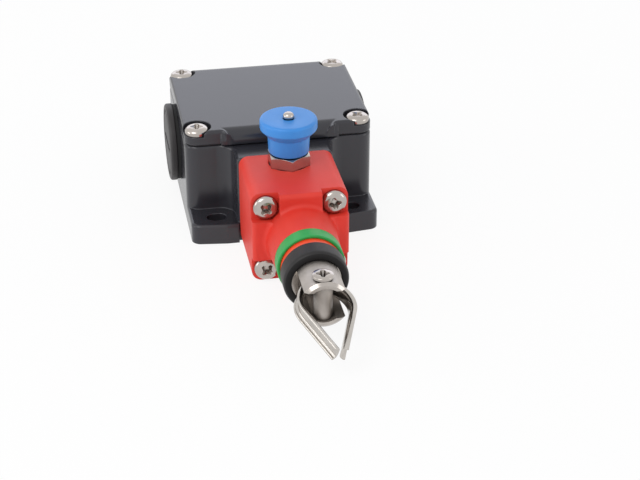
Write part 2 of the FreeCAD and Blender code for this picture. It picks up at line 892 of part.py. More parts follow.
def make_head():
    """Red head: a square block with four sunk corners and a conical nozzle."""
    head = Piece("head", (0, 0, axis))
    half = half_head
    inner = half - D.head_notch
    head.pad("XZ", head_front, head_rear, rectangle(-half, -half, half, half, D.head_edge))
    head.revolve("YZ", "H_Axis", nozzle())
    head.pocket("XZ", head_front - D.nozzle_flare, head_seat, *[
        corner_cut(half, inner, sx, sz) for sx, sz in SIGNS])
    head.fillet(D.head_round, head_front_edge)
    head.groove("YZ", "H_Axis", polygon(
        (head_rear, 0), (head_rear, D.head_chamber), (web_rear, D.head_chamber),
        (web_rear, D.bush_radius), (web_front, D.bush_radius), (web_front, sleeve_bore),
        (nozzle_end, sleeve_bore), (nozzle_end, 0)))
    head.pocket("XZ", head_seat, head_rear, *[circle(x, z, D.screw_hole) for x, z in head_screw_spots])
    head.pocket("XY", 0, half, circle(0, reset_y, D.bush_shank))
    seal_bore = D.bush_shank + D.reset_seal_section * 2 + D.running_fit
    head.pocket("XY", half - D.reset_seal_section * 2, half, circle(0, reset_y, seal_bore))


def head_front_edge(edge):
    """The block's four front edges, between the sunk corners."""
    box = edge.BoundBox
    across = box.XLength < NEAR and abs(abs(box.XMin) - half_head.value) < NEAR
    level = box.ZLength < NEAR and abs(abs(box.ZMin) - half_head.value) < NEAR
    return at_level("Y", head_front)(edge) and (across or level)


def nozzle():
    """Half section of the nozzle, with a hollow flare where it leaves the block."""
    flare = D.nozzle_flare
    wide = D.nozzle_base + flare
    rise = head_front - flare
    segments = [
        ((head_seat, ZERO), (head_seat, wide)),
        ((head_seat, wide), (head_front, wide)),
        ((head_front, wide), (rise, D.nozzle_base), (rise, wide), flare),
        ((rise, D.nozzle_base), (nozzle_end, D.nozzle_tip)),
        ((nozzle_end, D.nozzle_tip), (nozzle_end, ZERO)),
        ((nozzle_end, ZERO), (head_seat, ZERO)),
    ]
    return lambda outline: outline.chain(segments)


def corner_cut(half, inner, sx, sz):
    """A sunk corner of the head's front, hollowed to the nozzle's own round."""
    beyond = half + PAST
    meet = half_chord(D.nozzle_base, inner)
    segments = [
        ((meet * sx, inner * sz), (beyond * sx, inner * sz)),
        ((beyond * sx, inner * sz), (beyond * sx, beyond * sz)),
        ((beyond * sx, beyond * sz), (inner * sx, beyond * sz)),
        ((inner * sx, beyond * sz), (inner * sx, meet * sz)),
        ((inner * sx, meet * sz), (meet * sx, inner * sz), (ZERO, ZERO), D.nozzle_base),
    ]
    return lambda outline: outline.chain(segments)


def make_head_gasket():
    """Flat seal between neck and head."""
    gasket = Piece("head_gasket", (0, 0, axis))
    half = half_neck - D.gasket_inset
    low = D.gasket_inset - axis
    high = D.housing_height - axis - D.gasket_inset
    holes = [circle(x, z, D.screw_hole) for x, z in head_screw_spots]
    gasket.pad("XZ", head_rear, neck_front, rectangle(-half, low, half, high, D.edge_round),
               circle(0, 0, D.head_chamber), *holes)


def turned(label, *profile):
    """A piece turned about the pull axis, from (station, radius) corners."""
    piece = Piece(label, (0, 0, axis))
    piece.revolve("YZ", "H_Axis", polygon(*profile))
    return piece


def tube(label, front, rear, outer, bore):
    """A plain ring about the pull axis."""
    return turned(label, (front, bore), (front, outer), (rear, outer), (rear, bore))


def make_pull_line():
    """The rod and everything that slides with it."""
    spigot_end = cam_ramp - D.cam_clearance
    rod = turned("pull_rod", (slot_bottom + D.edge_round, 0), (slot_bottom + D.edge_round, D.rod_radius),
                 (cam_front, D.rod_radius), (cam_front, D.rod_spigot), (spigot_end, D.rod_spigot),
                 (spigot_end, 0))
    key_floor = D.rod_radius - D.latch_depth - D.latch_clearance
    key_front = reset_y - D.key_width / 2
    key_rear = reset_y + D.pull_travel + D.key_width / 2
    rod.pocket("XY", key_floor, D.rod_radius, rectangle(
        -D.key_width / 2, key_front, D.key_width / 2, key_rear))

    sleeve_rear = web_front - D.sleeve_clearance
    turned("indicator_sleeve", (cap_rear, rod_bore), (cap_rear, D.sleeve_radius),
           (sleeve_rear, D.sleeve_radius), (sleeve_rear, D.sleeve_radius - D.sleeve_wall),
           (cap_rear + D.sleeve_wall, D.sleeve_radius - D.sleeve_wall),
           (cap_rear + D.sleeve_wall, rod_bore))
    cap = tube("end_cap", cap_front, cap_rear, D.cap_radius, D.clevis_radius + D.running_fit)
    cap.fillet(D.cap_round, ring_at("Y", cap_front, D.cap_radius))

    nut = Piece("lock_nut", (0, 0, axis))
    nut_front = cap_rear + D.sleeve_wall
    nut_rear = nut_front + D.lock_nut_length
    nut.pad("XZ", nut_front, nut_rear, hexagon(D.lock_nut_flats), circle(0, 0, rod_bore))
    nut.groove("YZ", "H_Axis", nut_bevel(nut_rear, D.lock_nut_flats))

    make_clevis()
    tube("spring_collar", collar_front, collar_rear, D.collar_radius, rod_bore)
    make_cam_bar()


def nut_bevel(end, flats):
    """The ring that bevels a hexagon's corners at its end."""
    corner = flats / math.sqrt(3)
    fall = corner - flats / 2
    beyond = corner + fall
    return polygon((end, flats / 2), (end, beyond), (end - fall, beyond))


def make_clevis():
    """Slotted steel tube: two arms that carry the pin, on a solid root."""
    bore = D.clevis_radius - D.clevis_wall
    clevis = turned("clevis", (clevis_front, bore), (clevis_front, D.clevis_radius),
                    (cap_rear, D.clevis_radius), (cap_rear, rod_bore),
                    (slot_bottom + D.edge_round, rod_bore), (slot_bottom + D.edge_round, bore))
    half_slot = D.clevis_slot / 2
    reach = D.clevis_radius + PAST
    clevis.pocket("YZ", -reach, reach, rectangle(clevis_front - PAST, -half_slot, slot_bottom, half_slot))
    clevis.pocket("XY", -reach, reach, circle(0, pin_y, D.pin_radius + D.running_fit))
    clevis.chamfer(D.clevis_lip, clevis_lip_edge)


def clevis_lip_edge(edge):
    """The outer front edges of both clevis arms."""
    curve = edge.Curve
    on_front = at_level("Y", clevis_front)(edge)
    round_edge = curve.TypeId == "Part::GeomCircle"
    return on_front and round_edge and abs(curve.Radius - D.clevis_radius.value) < NEAR


def make_clevis_pin():
    """Cross pin through both arms, with a low round head."""
    pin = Piece("clevis_pin", (0, pin_y, axis))
    arm = D.clevis_radius
    pin.pad("XY", -arm + D.clevis_lip, arm, circle(0, 0, D.pin_radius))
    pin.pad("XY", arm, arm + D.pin_head_height, circle(0, 0, D.pin_head_radius))
    pin.fillet(D.pin_head_height * DOME, ring_at("Z", arm + D.pin_head_height, D.pin_head_radius))


def make_thimble():
    """Teardrop rope thimble: a gutter of steel sheet bent round the pin."""
    eye = D.thimble_inner
    apex = D.thimble_apex
    lean = eye / apex
    upright = root(1 - lean * lean)
    touch = (eye * upright, -eye * lean)
    tip = (D.thimble_gap, D.thimble_gap * upright / lean - apex)
    thimble = Piece("rope_thimble")
    path = thimble.sketch("XY", 0, [])
    Outline(path).chain([((ZERO, eye), touch, (ZERO, ZERO), eye), (touch, tip)], closed=False)
    lip = eye + D.thimble_depth
    trough = eye + D.thimble_sheet
    half = D.thimble_height / 2
    inside = half - D.thimble_sheet
    bend = D.thimble_bend
    tight = bend - D.thimble_sheet
    section = thimble.sketch("YZ", 0, [polygon(
        (eye, -half, bend), (lip, -half), (lip, -inside), (trough, -inside, tight),
        (trough, inside, tight), (lip, inside), (lip, half), (eye, half, bend))])
    pipe = thimble.body.newObject("PartDesign::AdditivePipe", "leg")
    pipe.Profile = section
    pipe.Spine = (path, ["Edge1", "Edge2"])
    pipe.Mode = "Frenet"
    doc.recompute()
    pair = thimble.body.newObject("PartDesign::Mirrored", "both_legs")
    pair.Originals = [pipe]
    planes = [item for item in thimble.body.Origin.OriginFeatures if item.Role == "YZ_Plane"]
    pair.MirrorPlane = (planes[0], [""])
    thimble.body.Tip = pair
    hang = FreeCAD.Rotation(FreeCAD.Vector(*HANG), D.thimble_hang.value)
    thimble.body.Placement = FreeCAD.Placement(FreeCAD.Vector(), hang)
    bind(thimble.body, ".Placement.Rotation.Angle", D.thimble_hang)
    place(thimble.body, (D.thimble_shift, pin_y - D.thimble_lead, axis - D.thimble_drop))


def make_cam_bar():
    """Bar on the rod's rear end, with the ramp that lifts the contact plunger."""
    cam = Piece("cam_bar", (0, 0, axis))
    half = D.cam_half_width
    end = cam_ramp + D.cam_ramp_length
    rise = D.cam_ramp_length / D.cam_slope
    cam.pad("YZ", -half, half, polygon(
        (cam_front, -half), (cam_ramp, -half), (end, -half), (end, rise - D.cam_low),
        (cam_ramp, -D.cam_low), (cam_ramp, half), (cam_front, half)))
    cam.pocket("XZ", cam_front, cam_ramp, circle(0, 0, D.rod_spigot + D.running_fit))


def make_bushes():
    """Flanged guide bushes of the rod, its wiper and the green ring on the nozzle."""
    turned("front_bush", (web_front, rod_bore), (web_front, D.bush_radius - D.running_fit),
           (web_rear, D.bush_radius - D.running_fit), (web_rear, D.bush_flange_radius),
           (web_rear + D.bush_flange, D.bush_flange_radius), (web_rear + D.bush_flange, rod_bore))
    wall_end = neck_front + D.neck_wall
    turned("rear_bush", (neck_front, rod_bore), (neck_front, D.bush_radius - D.running_fit),
           (wall_end, D.bush_radius - D.running_fit), (wall_end, D.bush_flange_radius),
           (spring_seat, D.bush_flange_radius), (spring_seat, rod_bore))
    tube("rod_wiper", web_front - D.wiper_length, web_front,
         D.sleeve_radius - D.sleeve_wall - D.sleeve_clearance, rod_bore)
    tube("indicator_ring", ring_end, nozzle_end, D.nozzle_tip, sleeve_bore)


def make_reset():
    """Hex bush, knob, stem and seal of the pull-to-reset."""
    at = (0, reset_y, 0)
    bush = Piece("reset_bush", at)
    shank_end = head_top - D.bush_shank_length
    stem_bore = D.stem_radius + D.running_fit
    bush.pad("XY", head_top, hex_top, hexagon(D.hex_flats))
    corner = D.hex_flats / math.sqrt(3)
    fall = corner - D.hex_flats / 2
    bush.groove("XZ", "V_Axis", polygon(
        (D.hex_flats / 2, hex_top), (corner + fall, hex_top), (corner + fall, hex_top - fall)))
    bush.pad("XY", shank_end, head_top, circle(0, 0, D.bush_shank - D.running_fit))
    bush.pocket("XY", shank_end, hex_top - D.reset_roof, circle(0, 0, D.reset_chamber))
    bush.pocket("XY", shank_end, hex_top, circle(0, 0, stem_bore))

    collar_low = axis + D.rod_radius + D.stem_collar_lift
    collar_high = collar_low + D.stem_collar_length
    knob_foot = hex_top + D.knob_gap
    cone_foot = knob_foot + D.knob_neck_height
    rim_foot = cone_foot + D.knob_cone_height
    knob_top = rim_foot + D.knob_rim_height
    seat = knob_foot + D.knob_neck_height
    knob = Piece("reset_knob", at)
    small = D.stem_top_radius + D.running_fit
    knob.revolve("XZ", "V_Axis", polygon(
        (stem_bore, knob_foot), (D.knob_neck, knob_foot), (D.knob_neck, cone_foot),
        (D.knob_rim, rim_foot), (D.knob_rim, knob_top), (small, knob_top), (small, seat),
        (stem_bore, seat)))
    knob.fillet(D.knob_edge, ring_at("Z", knob_top, D.knob_rim))

    stem = Piece("reset_stem", at)
    tip = axis + D.rod_radius - D.latch_depth
    stem_top = knob_top + D.stem_top_show
    stem.revolve("XZ", "V_Axis", polygon(
        (0, tip), (D.latch_radius, tip), (D.latch_radius, collar_low), (D.stem_collar_radius, collar_low),
        (D.stem_collar_radius, collar_high), (D.stem_radius, collar_high), (D.stem_radius, seat),
        (D.stem_top_radius, seat), (D.stem_top_radius, stem_top), (0, stem_top)))
    stem.fillet(D.stem_top_radius * DOME, ring_at("Z", stem_top, D.stem_top_radius))

    seal = doc.addObject("Part::Torus", "reset_seal")
    seal.Label = "reset_seal"
    bind(seal, "Radius1", D.bush_shank + D.reset_seal_section)
    bind(seal, "Radius2", D.reset_seal_section)
    place(seal, (0, reset_y, head_top - D.reset_seal_section))
    pieces.append(seal)

    upright = FreeCAD.Rotation()
    chamber_roof = hex_top - D.reset_roof
    half_wire = D.reset_spring_wire / 2
    coil("reset_spring", (0, reset_y, collar_high + half_wire), upright, D.reset_spring_radius,
         D.reset_spring_wire, chamber_roof - collar_high, turns=5)


def make_return_spring():
    """Return spring round the rod, from the rear bush's flange to the collar."""
    lying = FreeCAD.Rotation(FreeCAD.Vector(1, 0, 0), -90)
    coil("return_spring", (0, spring_seat + D.spring_wire / 2, axis), lying, D.spring_radius,
         D.spring_wire, D.spring_length, turns=6)


def make_contact_block():
    """Moulded switch base on two posts, its lid and the two screws that hold it."""
    block = Piece("contact_block", (0, contact_y, 0))
    wide = D.block_half_width
    deep = D.block_half_length
    block.pad("XY", block_bottom, strip_bottom, rectangle(-wide, -deep, wide, deep, D.edge_round))
    block.pad("XY", strip_bottom, tower_top, rectangle(
        -D.tower_half_width, -deep, D.tower_half_width, deep, D.edge_round))
    wall_top = strip_bottom + D.shelf_wall_height
    for side in (-1, 1):
        inner = (D.tower_half_width - D.edge_round) * side
        outer = wide * side
        left, right = (outer, inner) if side < 0 else (inner, outer)
        for y in (-deep, deep - D.shelf_wall):
            block.pad("XY", strip_bottom, wall_top, rectangle(left, y, right, y + D.shelf_wall))
    room_x = D.tower_half_width - D.tower_wall
    room_y = deep - D.tower_wall
    block.pocket("XY", strip_bottom, tower_top, rectangle(-room_x, -room_y, room_x, room_y))
    gate = D.strip_half_width + D.guide_clearance
    for row in (-D.row_offset, D.row_offset):
        for side in (-1, 1):
            left, right = (-D.tower_half_width, -room_x) if side < 0 else (room_x, D.tower_half_width)
            block.pocket("XY", strip_bottom, strip_top + D.guide_clearance,
                         rectangle(left, row - gate, right, row + gate))
    stem_x = D.plunger_half_width + D.guide_clearance
    stem_y = D.plunger_half_length + D.guide_clearance
    block.pocket("XY", block_bottom, strip_bottom, rectangle(-stem_x, -stem_y, stem_x, stem_y))
    block.pocket("XY", block_bottom, strip_bottom, *[
        circle(x, 0, D.terminal_screw_radius + D.guide_clearance) for x, _ in block_screws])

    lid = Piece("contact_lid", (0, contact_y, 0))
    lid.pad("XY", tower_top, lid_top, rectangle(
        -D.tower_half_width, -deep, D.tower_half_width, deep, D.edge_round))
    lid.pocket("XY", tower_top, lid_top - D.lid_skin, rectangle(-room_x, -room_y, room_x, room_y))

    screw_length = D.screw_grip + D.block_floor - D.tap_spare
    make_small_screws("block_screws", strip_bottom, screw_length, block_screws)


def make_small_screws(label, seat, length, spots):
    """M3 screws standing up from one level."""
    screws = Piece(label)
    shank = D.terminal_screw_radius - D.running_fit
    screws.pad("XY", seat - length, seat, *[circle(x, y, shank) for x, y in spots])
    screws.pad("XY", seat, seat + D.terminal_head_height, *[
        circle(x, y, D.terminal_head_radius) for x, y in spots])


def make_contacts():
    """Fixed contacts with their terminals, and the moving bridges on the plunger."""
    strips = Piece("fixed_contacts")
    clamps = Piece("terminal_clamps")
    half = D.strip_half_width
    strip_loops = []
    clamp_loops = []
    tips = []
    for x, y in terminals:
        side = 1 if x.value > 0 else -1
        near = D.strip_inner * side
        far = D.strip_outer * side
        left, right = (near, far) if side > 0 else (far, near)
        strip_loops.append(rectangle(left, y - half, right, y + half))
        clamp_loops.append(rectangle(x - half, y - half, x + half, y + half))
        tips.append(circle(D.contact_x * side, y, D.contact_radius))
    hole = [circle(x, y, D.terminal_screw_radius) for x, y in terminals]
    strips.pad("XY", strip_bottom, strip_top, *strip_loops)
    strips.pad("XY", strip_top, strip_top + D.contact_height, *tips)
    strips.pocket("XY", strip_bottom, strip_top, *hole)
    clamp_top = strip_top + D.terminal_clamp
    clamps.pad("XY", strip_top, clamp_top, *clamp_loops)
    clamps.pocket("XY", strip_top, clamp_top, *hole)
    make_small_screws("terminal_screws", clamp_top, D.strip_thickness + D.terminal_clamp, terminals)

    bridges = Piece("contact_bridges")
    reach = D.bridge_half_length
    side = D.bridge_half_width
    bridges.pad("XY", bridge_bottom, bridge_top, *[
        rectangle(-reach, y - side, reach, y + side) for y in rows])
    bridges.pad("XY", bridge_bottom - D.contact_height, bridge_bottom, *tips)

    plunger = Piece("contact_plunger", (0, contact_y, 0))
    wide = D.plunger_half_width
    long = D.plunger_half_length
    ramp_height = axis - D.cam_low + (contact_y - cam_ramp) / D.cam_slope
    foot = ramp_height + D.cam_clearance
    slant = D.plunger_half_length / D.cam_slope
    plunger.pad("YZ", -wide, wide, polygon(
        (-long, foot - slant), (long, foot + slant), (long, bridge_top), (-long, bridge_top)))
    bar = D.crosshead_half_length
    plunger.pad("XY", bridge_top, crosshead_top, rectangle(-wide, -bar, wide, bar))

    half_wire = D.plunger_spring_wire / 2
    coil("plunger_spring", (0, contact_y, crosshead_top + half_wire), FreeCAD.Rotation(),
         D.plunger_spring_radius, D.plunger_spring_wire, lid_top - D.lid_skin - crosshead_top, turns=3)


def make_earth():
    """Earth terminal on its boss in the housing floor."""
    spot = earth_spot
    seat = D.floor_thickness + D.earth_boss_height
    clamp = Piece("earth_clamp")
    half = D.earth_clamp_half
    clamp_top = seat + D.earth_clamp_thickness
    clamp.pad("XY", seat, clamp_top,
              rectangle(spot[0] - half, spot[1] - half, spot[0] + half, spot[1] + half),
              circle(*spot, D.screw_hole))
    make_pan_screws("earth_screw", "XY", clamp_top, D.earth_boss_height, [spot], 1)


make_housing()
make_cover()
make_cover_gasket()
make_pan_screws("cover_screws", "XY", rim_top, D.screw_grip + D.rim_height, cover_screws, 1)
make_plug("conduit_plug_left", -1)
make_plug("conduit_plug_right", 1)
make_plug_washers()
make_head()
make_head_gasket()
head_grip = head_rear - head_seat + D.head_gasket + D.screw_grip
make_pan_screws("head_screws", "XZ", head_seat, head_grip, head_screw_spots, -1, (0, 0, axis))
make_bushes()
make_pull_line()
make_clevis_pin()
make_thimble()
make_return_spring()
make_reset()
make_contact_block()
make_contacts()
make_earth()
doc.recompute()

for item in doc.Objects:
    if "Invalid" in item.State or "Error" in item.State:
        raise RuntimeError(f"{item.Label} did not build")
for piece in pieces:
    if piece.Shape.isNull() or not piece.Shape.isValid():
        raise RuntimeError(f"{piece.Label} is not a sound solid")

os.makedirs("parts", exist_ok=True)
for piece in pieces:
    piece.Shape.exportStep(f"parts/{piece.Label}.step")
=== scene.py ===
import json
import math

import bmesh
import bpy
from bpy.props import FloatProperty, FloatVectorProperty, PointerProperty
from mathutils import Matrix, Vector


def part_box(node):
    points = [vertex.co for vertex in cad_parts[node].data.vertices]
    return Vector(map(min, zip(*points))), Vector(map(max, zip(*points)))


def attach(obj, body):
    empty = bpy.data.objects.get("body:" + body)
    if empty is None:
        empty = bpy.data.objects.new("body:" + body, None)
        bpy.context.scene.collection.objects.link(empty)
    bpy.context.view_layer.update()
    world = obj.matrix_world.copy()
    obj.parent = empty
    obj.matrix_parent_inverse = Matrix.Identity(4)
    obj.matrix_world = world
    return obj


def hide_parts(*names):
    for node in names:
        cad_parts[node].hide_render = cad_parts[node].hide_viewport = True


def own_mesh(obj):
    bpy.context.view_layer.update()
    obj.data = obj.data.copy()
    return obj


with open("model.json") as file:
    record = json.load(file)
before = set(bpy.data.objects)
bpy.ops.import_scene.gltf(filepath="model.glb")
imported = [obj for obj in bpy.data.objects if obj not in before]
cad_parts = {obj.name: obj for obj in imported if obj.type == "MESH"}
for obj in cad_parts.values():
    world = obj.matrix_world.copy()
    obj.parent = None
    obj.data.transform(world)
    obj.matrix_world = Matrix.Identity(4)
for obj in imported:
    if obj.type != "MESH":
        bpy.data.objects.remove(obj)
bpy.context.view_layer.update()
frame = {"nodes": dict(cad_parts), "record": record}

bl_info = {
    "name": "Rope pull switch",
    "version": (1, 0, 0),
    "blender": (4, 5, 0),
    "location": "3D View > Sidebar > Rope switch",
    "description": "Dresses the rope pull switch and sets its studio stage",
    "category": "Object",
}

MM = 0.001
TINY = 1e-7
UP = Vector((0, 0, 1))
# Turns a piece that is made upright so that its top looks along the pull, towards -Y.
PULL = Matrix.Rotation(math.radians(90), 4, "X")


def linear(code):
    """An sRGB hex colour as linear red, green and blue."""
    parts = [int(code[at:at + 2], 16) / 255 for at in (1, 3, 5)]
    return tuple(p / 12.92 if p <= 0.04045 else ((p + 0.055) / 1.055) ** 2.4 for p in parts)


def length(name, description, default_mm):
    return FloatProperty(name=name, description=description, default=default_mm * MM,
                         subtype="DISTANCE", unit="LENGTH", precision=5)


def colour(name, description, code):
    return FloatVectorProperty(name=name, description=description, default=linear(code),
                               subtype="COLOR", min=0.0, max=1.0)


class SwitchSizes(bpy.types.PropertyGroup):
    """Sizes of the small features that the scene adds."""

    edge: length("Edge round", "Round of a moulded edge", 0.25)
    cast_edge: length("Cast edge", "Round of a coated edge on a casting", 0.6)
    metal_edge: length("Metal edge", "Round of a turned or sawn metal edge", 0.12)
    screw_rise: length("Screw rise", "Height of a pan head over its seat", 2.7)
    recess_span: length("Recess span", "Width of a cross recess over its wings", 5.2)
    recess_wing: length("Recess wing", "Width of a wing of a cross recess at its tip", 1.0)
    recess_core: length("Recess core", "Width of a cross recess at its heart", 2.3)
    recess_depth: length("Recess depth", "Depth of a cross recess", 2.0)
    knob_draft: length("Knob draft", "How much the knob's neck narrows to its foot", 0.3)
    # How far from the walls of a nook of bright metal its painted shade reaches.
    nook_shade_reach: length("Nook shade reach", "How near its walls a nook of bright metal is dull", 0.8)
    plug_rim: length("Plug rim", "Width of the raised rim on a conduit plug", 2.4)
    rim_round: length("Thimble rim", "Round of the thimble's rolled rims", 0.38)


class SwitchColours(bpy.types.PropertyGroup):
    """Colours of the finishes."""

    casting: colour("Casting", "Black powder coat of box and cover", "#2e2e34")
    head: colour("Head", "Red powder coat of the pull head", "#e0382b")
    knob: colour("Knob", "Blue moulding of the reset knob", "#3488d8")
    ring: colour("Ring", "Green moulding of the ring on the nozzle", "#1ca24a")
    band: colour("Band", "Orange-red moulding of the sliding sleeve", "#f4471f")
    black: colour("Black moulding", "Conduit plugs and the mouldings inside", "#292627")
    rubber: colour("Rubber", "Seals and washers", "#161617")
    nickel: colour("Nickel", "Nickel plating of screws, clevis and bush", "#b9b2ac")
    stainless: colour("Stainless", "Rolled stainless steel of the thimble", "#c3beb8")
    floor: colour("Floor", "Studio floor", "#fafafa")


def sizes():
    return bpy.context.scene.rope_switch_sizes


def colours():
    return bpy.context.scene.rope_switch_colours


# Shader tools

DRIFT_MM = 14.0
STAIN_MM = 5.0
GRAIN_RISE = 0.05 * MM
MARK_RISE = 0.02 * MM
EDGE_SAMPLES = 6
NOOK_SAMPLES = 8
# How much paler than the tone the painted highlight along the edges is.
EDGE_HIGHLIGHT_PALER = 3.0
STAINED, UNSTAINED = 0.9, 1.03
# The sockets of a colour mix: its share, its two colours and its result.
MIX_SHARE, MIX_FIRST, MIX_SECOND, MIX_RESULT = 0, 6, 7, 2


def add(tree, kind, values=None, links=None, **settings):
    """Adds a node, sets its attributes and input values, and links other nodes' outputs to it."""
    made = tree.nodes.new(kind)
    for name, value in settings.items():
        setattr(made, name, value)
    for name, value in (values or {}).items():
        made.inputs[name].default_value = value
    for name, (source, output) in (links or {}).items():
        tree.links.new(source.outputs[output], made.inputs[name])
    return made


def start(name):
    """A material with an empty node tree."""
    made = bpy.data.materials.new(name)
    made.use_nodes = True
    made.node_tree.nodes.clear()
    return made, made.node_tree


def per_mm(size):
    """Texture scale, in metres of object space, that gives features of one size in millimetres."""
    return 1.0 / (size * MM)


def shade(tone, factor):
    """A colour made darker or paler, with its alpha."""
    return tuple(min(1.0, c * factor) for c in tone) + (1.0,)


def grained(name, tone, grain_mm, bump, roughness, spread, mottle=0.06, edge_highlight=0.0, edge=None,
            **shader):
    """A coated or moulded surface: grain in its height, drift in its tone, a highlight painted
    paler along its edges.
    """
    made, tree = start(name)
    place = add(tree, "ShaderNodeTexCoord")
    fine = add(tree, "ShaderNodeTexNoise", {"Scale": per_mm(grain_mm), "Detail": 2.0},
               {"Vector": (place, "Object")})
    slow = add(tree, "ShaderNodeTexNoise", {"Scale": per_mm(DRIFT_MM), "Detail": 3.0},
               {"Vector": (place, "Object")})
    drift = add(tree, "ShaderNodeMapRange", {"From Min": 0.3, "From Max": 0.7},
                {"Value": (slow, "Fac")})
    tint = add(tree, "ShaderNodeMix",
               {MIX_FIRST: shade(tone, 1 - mottle), MIX_SECOND: shade(tone, 1 + mottle)},
               {MIX_SHARE: (drift, "Result")}, data_type="RGBA")
    gloss = add(tree, "ShaderNodeMapRange",
                {"To Min": roughness - spread, "To Max": roughness + spread},
                {"Value": (fine, "Fac")})
    soft = add(tree, "ShaderNodeBevel", {"Radius": edge or sizes().edge}, samples=EDGE_SAMPLES)
    flat = add(tree, "ShaderNodeNewGeometry")
    along = add(tree, "ShaderNodeVectorMath", links={0: (soft, "Normal"), 1: (flat, "Normal")},
                operation="DOT_PRODUCT")
    # Painted highlight: where the bevelled normal turns away from the flat one, along rounded
    # edges, the tone is mixed towards a paler copy.
    at_edge = add(tree, "ShaderNodeMapRange",
                  {"From Min": 0.98, "From Max": 0.78, "To Max": edge_highlight},
                  {"Value": (along, "Value")})
    highlit_edges = add(tree, "ShaderNodeMix", {MIX_SECOND: shade(tone, EDGE_HIGHLIGHT_PALER)},
               {MIX_SHARE: (at_edge, "Result"), MIX_FIRST: (tint, MIX_RESULT)}, data_type="RGBA")
    skin = add(tree, "ShaderNodeBump", {"Strength": bump, "Distance": GRAIN_RISE},
               {"Height": (fine, "Fac"), "Normal": (soft, "Normal")})
    surface = add(tree, "ShaderNodeBsdfPrincipled", shader,
                  {"Base Color": (highlit_edges, MIX_RESULT), "Roughness": (gloss, "Result"),
                   "Normal": (skin, "Normal")})
    add(tree, "ShaderNodeOutputMaterial", links={"Surface": (surface, "BSDF")})
    return made


# dull is the share of the tone left in the painted shade of the nooks; reach is how far that shade
# reaches from their walls.
def plated(name, tone, roughness, spread, scratch_mm, bump, stretch=(1.0, 1.0, 1.0), dull=0.12,
           reach=None):
    """A bright metal: fine marks in its gloss, slight stain in its tone, painted shade in its
    nooks.
    """
    made, tree = start(name)
    place = add(tree, "ShaderNodeTexCoord")
    drawn = add(tree, "ShaderNodeMapping", {"Scale": stretch}, {"Vector": (place, "Object")})
    marks = add(tree, "ShaderNodeTexNoise", {"Scale": per_mm(scratch_mm), "Detail": 4.0},
                {"Vector": (drawn, "Vector")})
    stain = add(tree, "ShaderNodeTexNoise", {"Scale": per_mm(STAIN_MM), "Detail": 2.0},
                {"Vector": (place, "Object")})
    drift = add(tree, "ShaderNodeMapRange", {"From Min": 0.35, "From Max": 0.65},
                {"Value": (stain, "Fac")})
    tint = add(tree, "ShaderNodeMix",
               {MIX_FIRST: shade(tone, STAINED), MIX_SECOND: shade(tone, UNSTAINED)},
               {MIX_SHARE: (drift, "Result")}, data_type="RGBA")
    # Painted shade: ambient occlusion darkens the tone towards its dull share in nooks, recesses
    # and gaps between parts, where shade falls.
    nook = add(tree, "ShaderNodeAmbientOcclusion", {"Distance": reach or sizes().nook_shade_reach},
               samples=NOOK_SAMPLES)
    unshaded_share = add(tree, "ShaderNodeMapRange", {"From Min": 0.35, "From Max": 0.92},
                {"Value": (nook, "AO")})
    shade_in_nooks = add(tree, "ShaderNodeMix", {MIX_FIRST: shade(tone, dull)},
                {MIX_SHARE: (unshaded_share, "Result"), MIX_SECOND: (tint, MIX_RESULT)}, data_type="RGBA")
    gloss = add(tree, "ShaderNodeMapRange",
                {"To Min": roughness - spread, "To Max": roughness + spread},
                {"Value": (marks, "Fac")})
    soft = add(tree, "ShaderNodeBevel", {"Radius": sizes().metal_edge}, samples=EDGE_SAMPLES)
    skin = add(tree, "ShaderNodeBump", {"Strength": bump, "Distance": MARK_RISE},
               {"Height": (marks, "Fac"), "Normal": (soft, "Normal")})
    surface = add(tree, "ShaderNodeBsdfPrincipled", {"Metallic": 1.0},
                  {"Base Color": (shade_in_nooks, MIX_RESULT), "Roughness": (gloss, "Result"),
                   "Normal": (skin, "Normal")})
    add(tree, "ShaderNodeOutputMaterial", links={"Surface": (surface, "BSDF")})
    return made


# Finishes

def powder_coat_black():
    # Polyester powder coat on die-cast zinc: an even satin skin with a faint orange peel of 0.9 mm.
    # Its edges carry a painted highlight, paler than the coat.
    return grained("powder_coat_black_on_die_cast", colours().casting, grain_mm=0.9, bump=0.06,
                   roughness=0.23, spread=0.03, edge_highlight=0.5, edge=sizes().cast_edge, IOR=1.5)


def powder_coat_red():
    # The same coat in red: satin, so that the upper face takes a pale sheen from the light.
    # Its edges carry a faint painted highlight.
    return grained("powder_coat_red_on_die_cast", colours().head, grain_mm=0.9, bump=0.10,
                   roughness=0.50, spread=0.05, edge_highlight=0.08, edge=sizes().cast_edge, IOR=1.45)


def moulded_blue():
    # Injection-moulded polyamide, semi-gloss, with a very fine spark-eroded grain drawn at 0.5 mm.
    return grained("moulded_polyamide_blue", colours().knob, grain_mm=0.5, bump=0.08,
                   roughness=0.42, spread=0.05, IOR=1.53)


def moulded_green():
    # Injection-moulded polyamide with a smooth turned tool face.
    return grained("moulded_polyamide_green", colours().ring, grain_mm=0.5, bump=0.05,
                   roughness=0.40, spread=0.05, IOR=1.53)


def moulded_orange():
    # Injection-moulded polyamide with a smooth turned tool face.
    return grained("moulded_polyamide_orange", colours().band, grain_mm=0.5, bump=0.05,
                   roughness=0.38, spread=0.05, IOR=1.53)


def moulded_black():
    # Glass-filled polyamide: a dull black skin with a slight cloudiness from the fibres.
    return grained("moulded_glass_filled_polyamide", colours().black, grain_mm=0.6, bump=0.10,
                   roughness=0.5, spread=0.07, mottle=0.12, IOR=1.53)


def cap_black():
    # The same moulding with a rougher tool face: deep black where no light glances off it.
    return grained("moulded_polyamide_eroded_black", linear("#1c1a1b"), grain_mm=0.5, bump=0.12,
                   roughness=0.48, spread=0.06, mottle=0.12, edge=sizes().cast_edge, IOR=1.42)


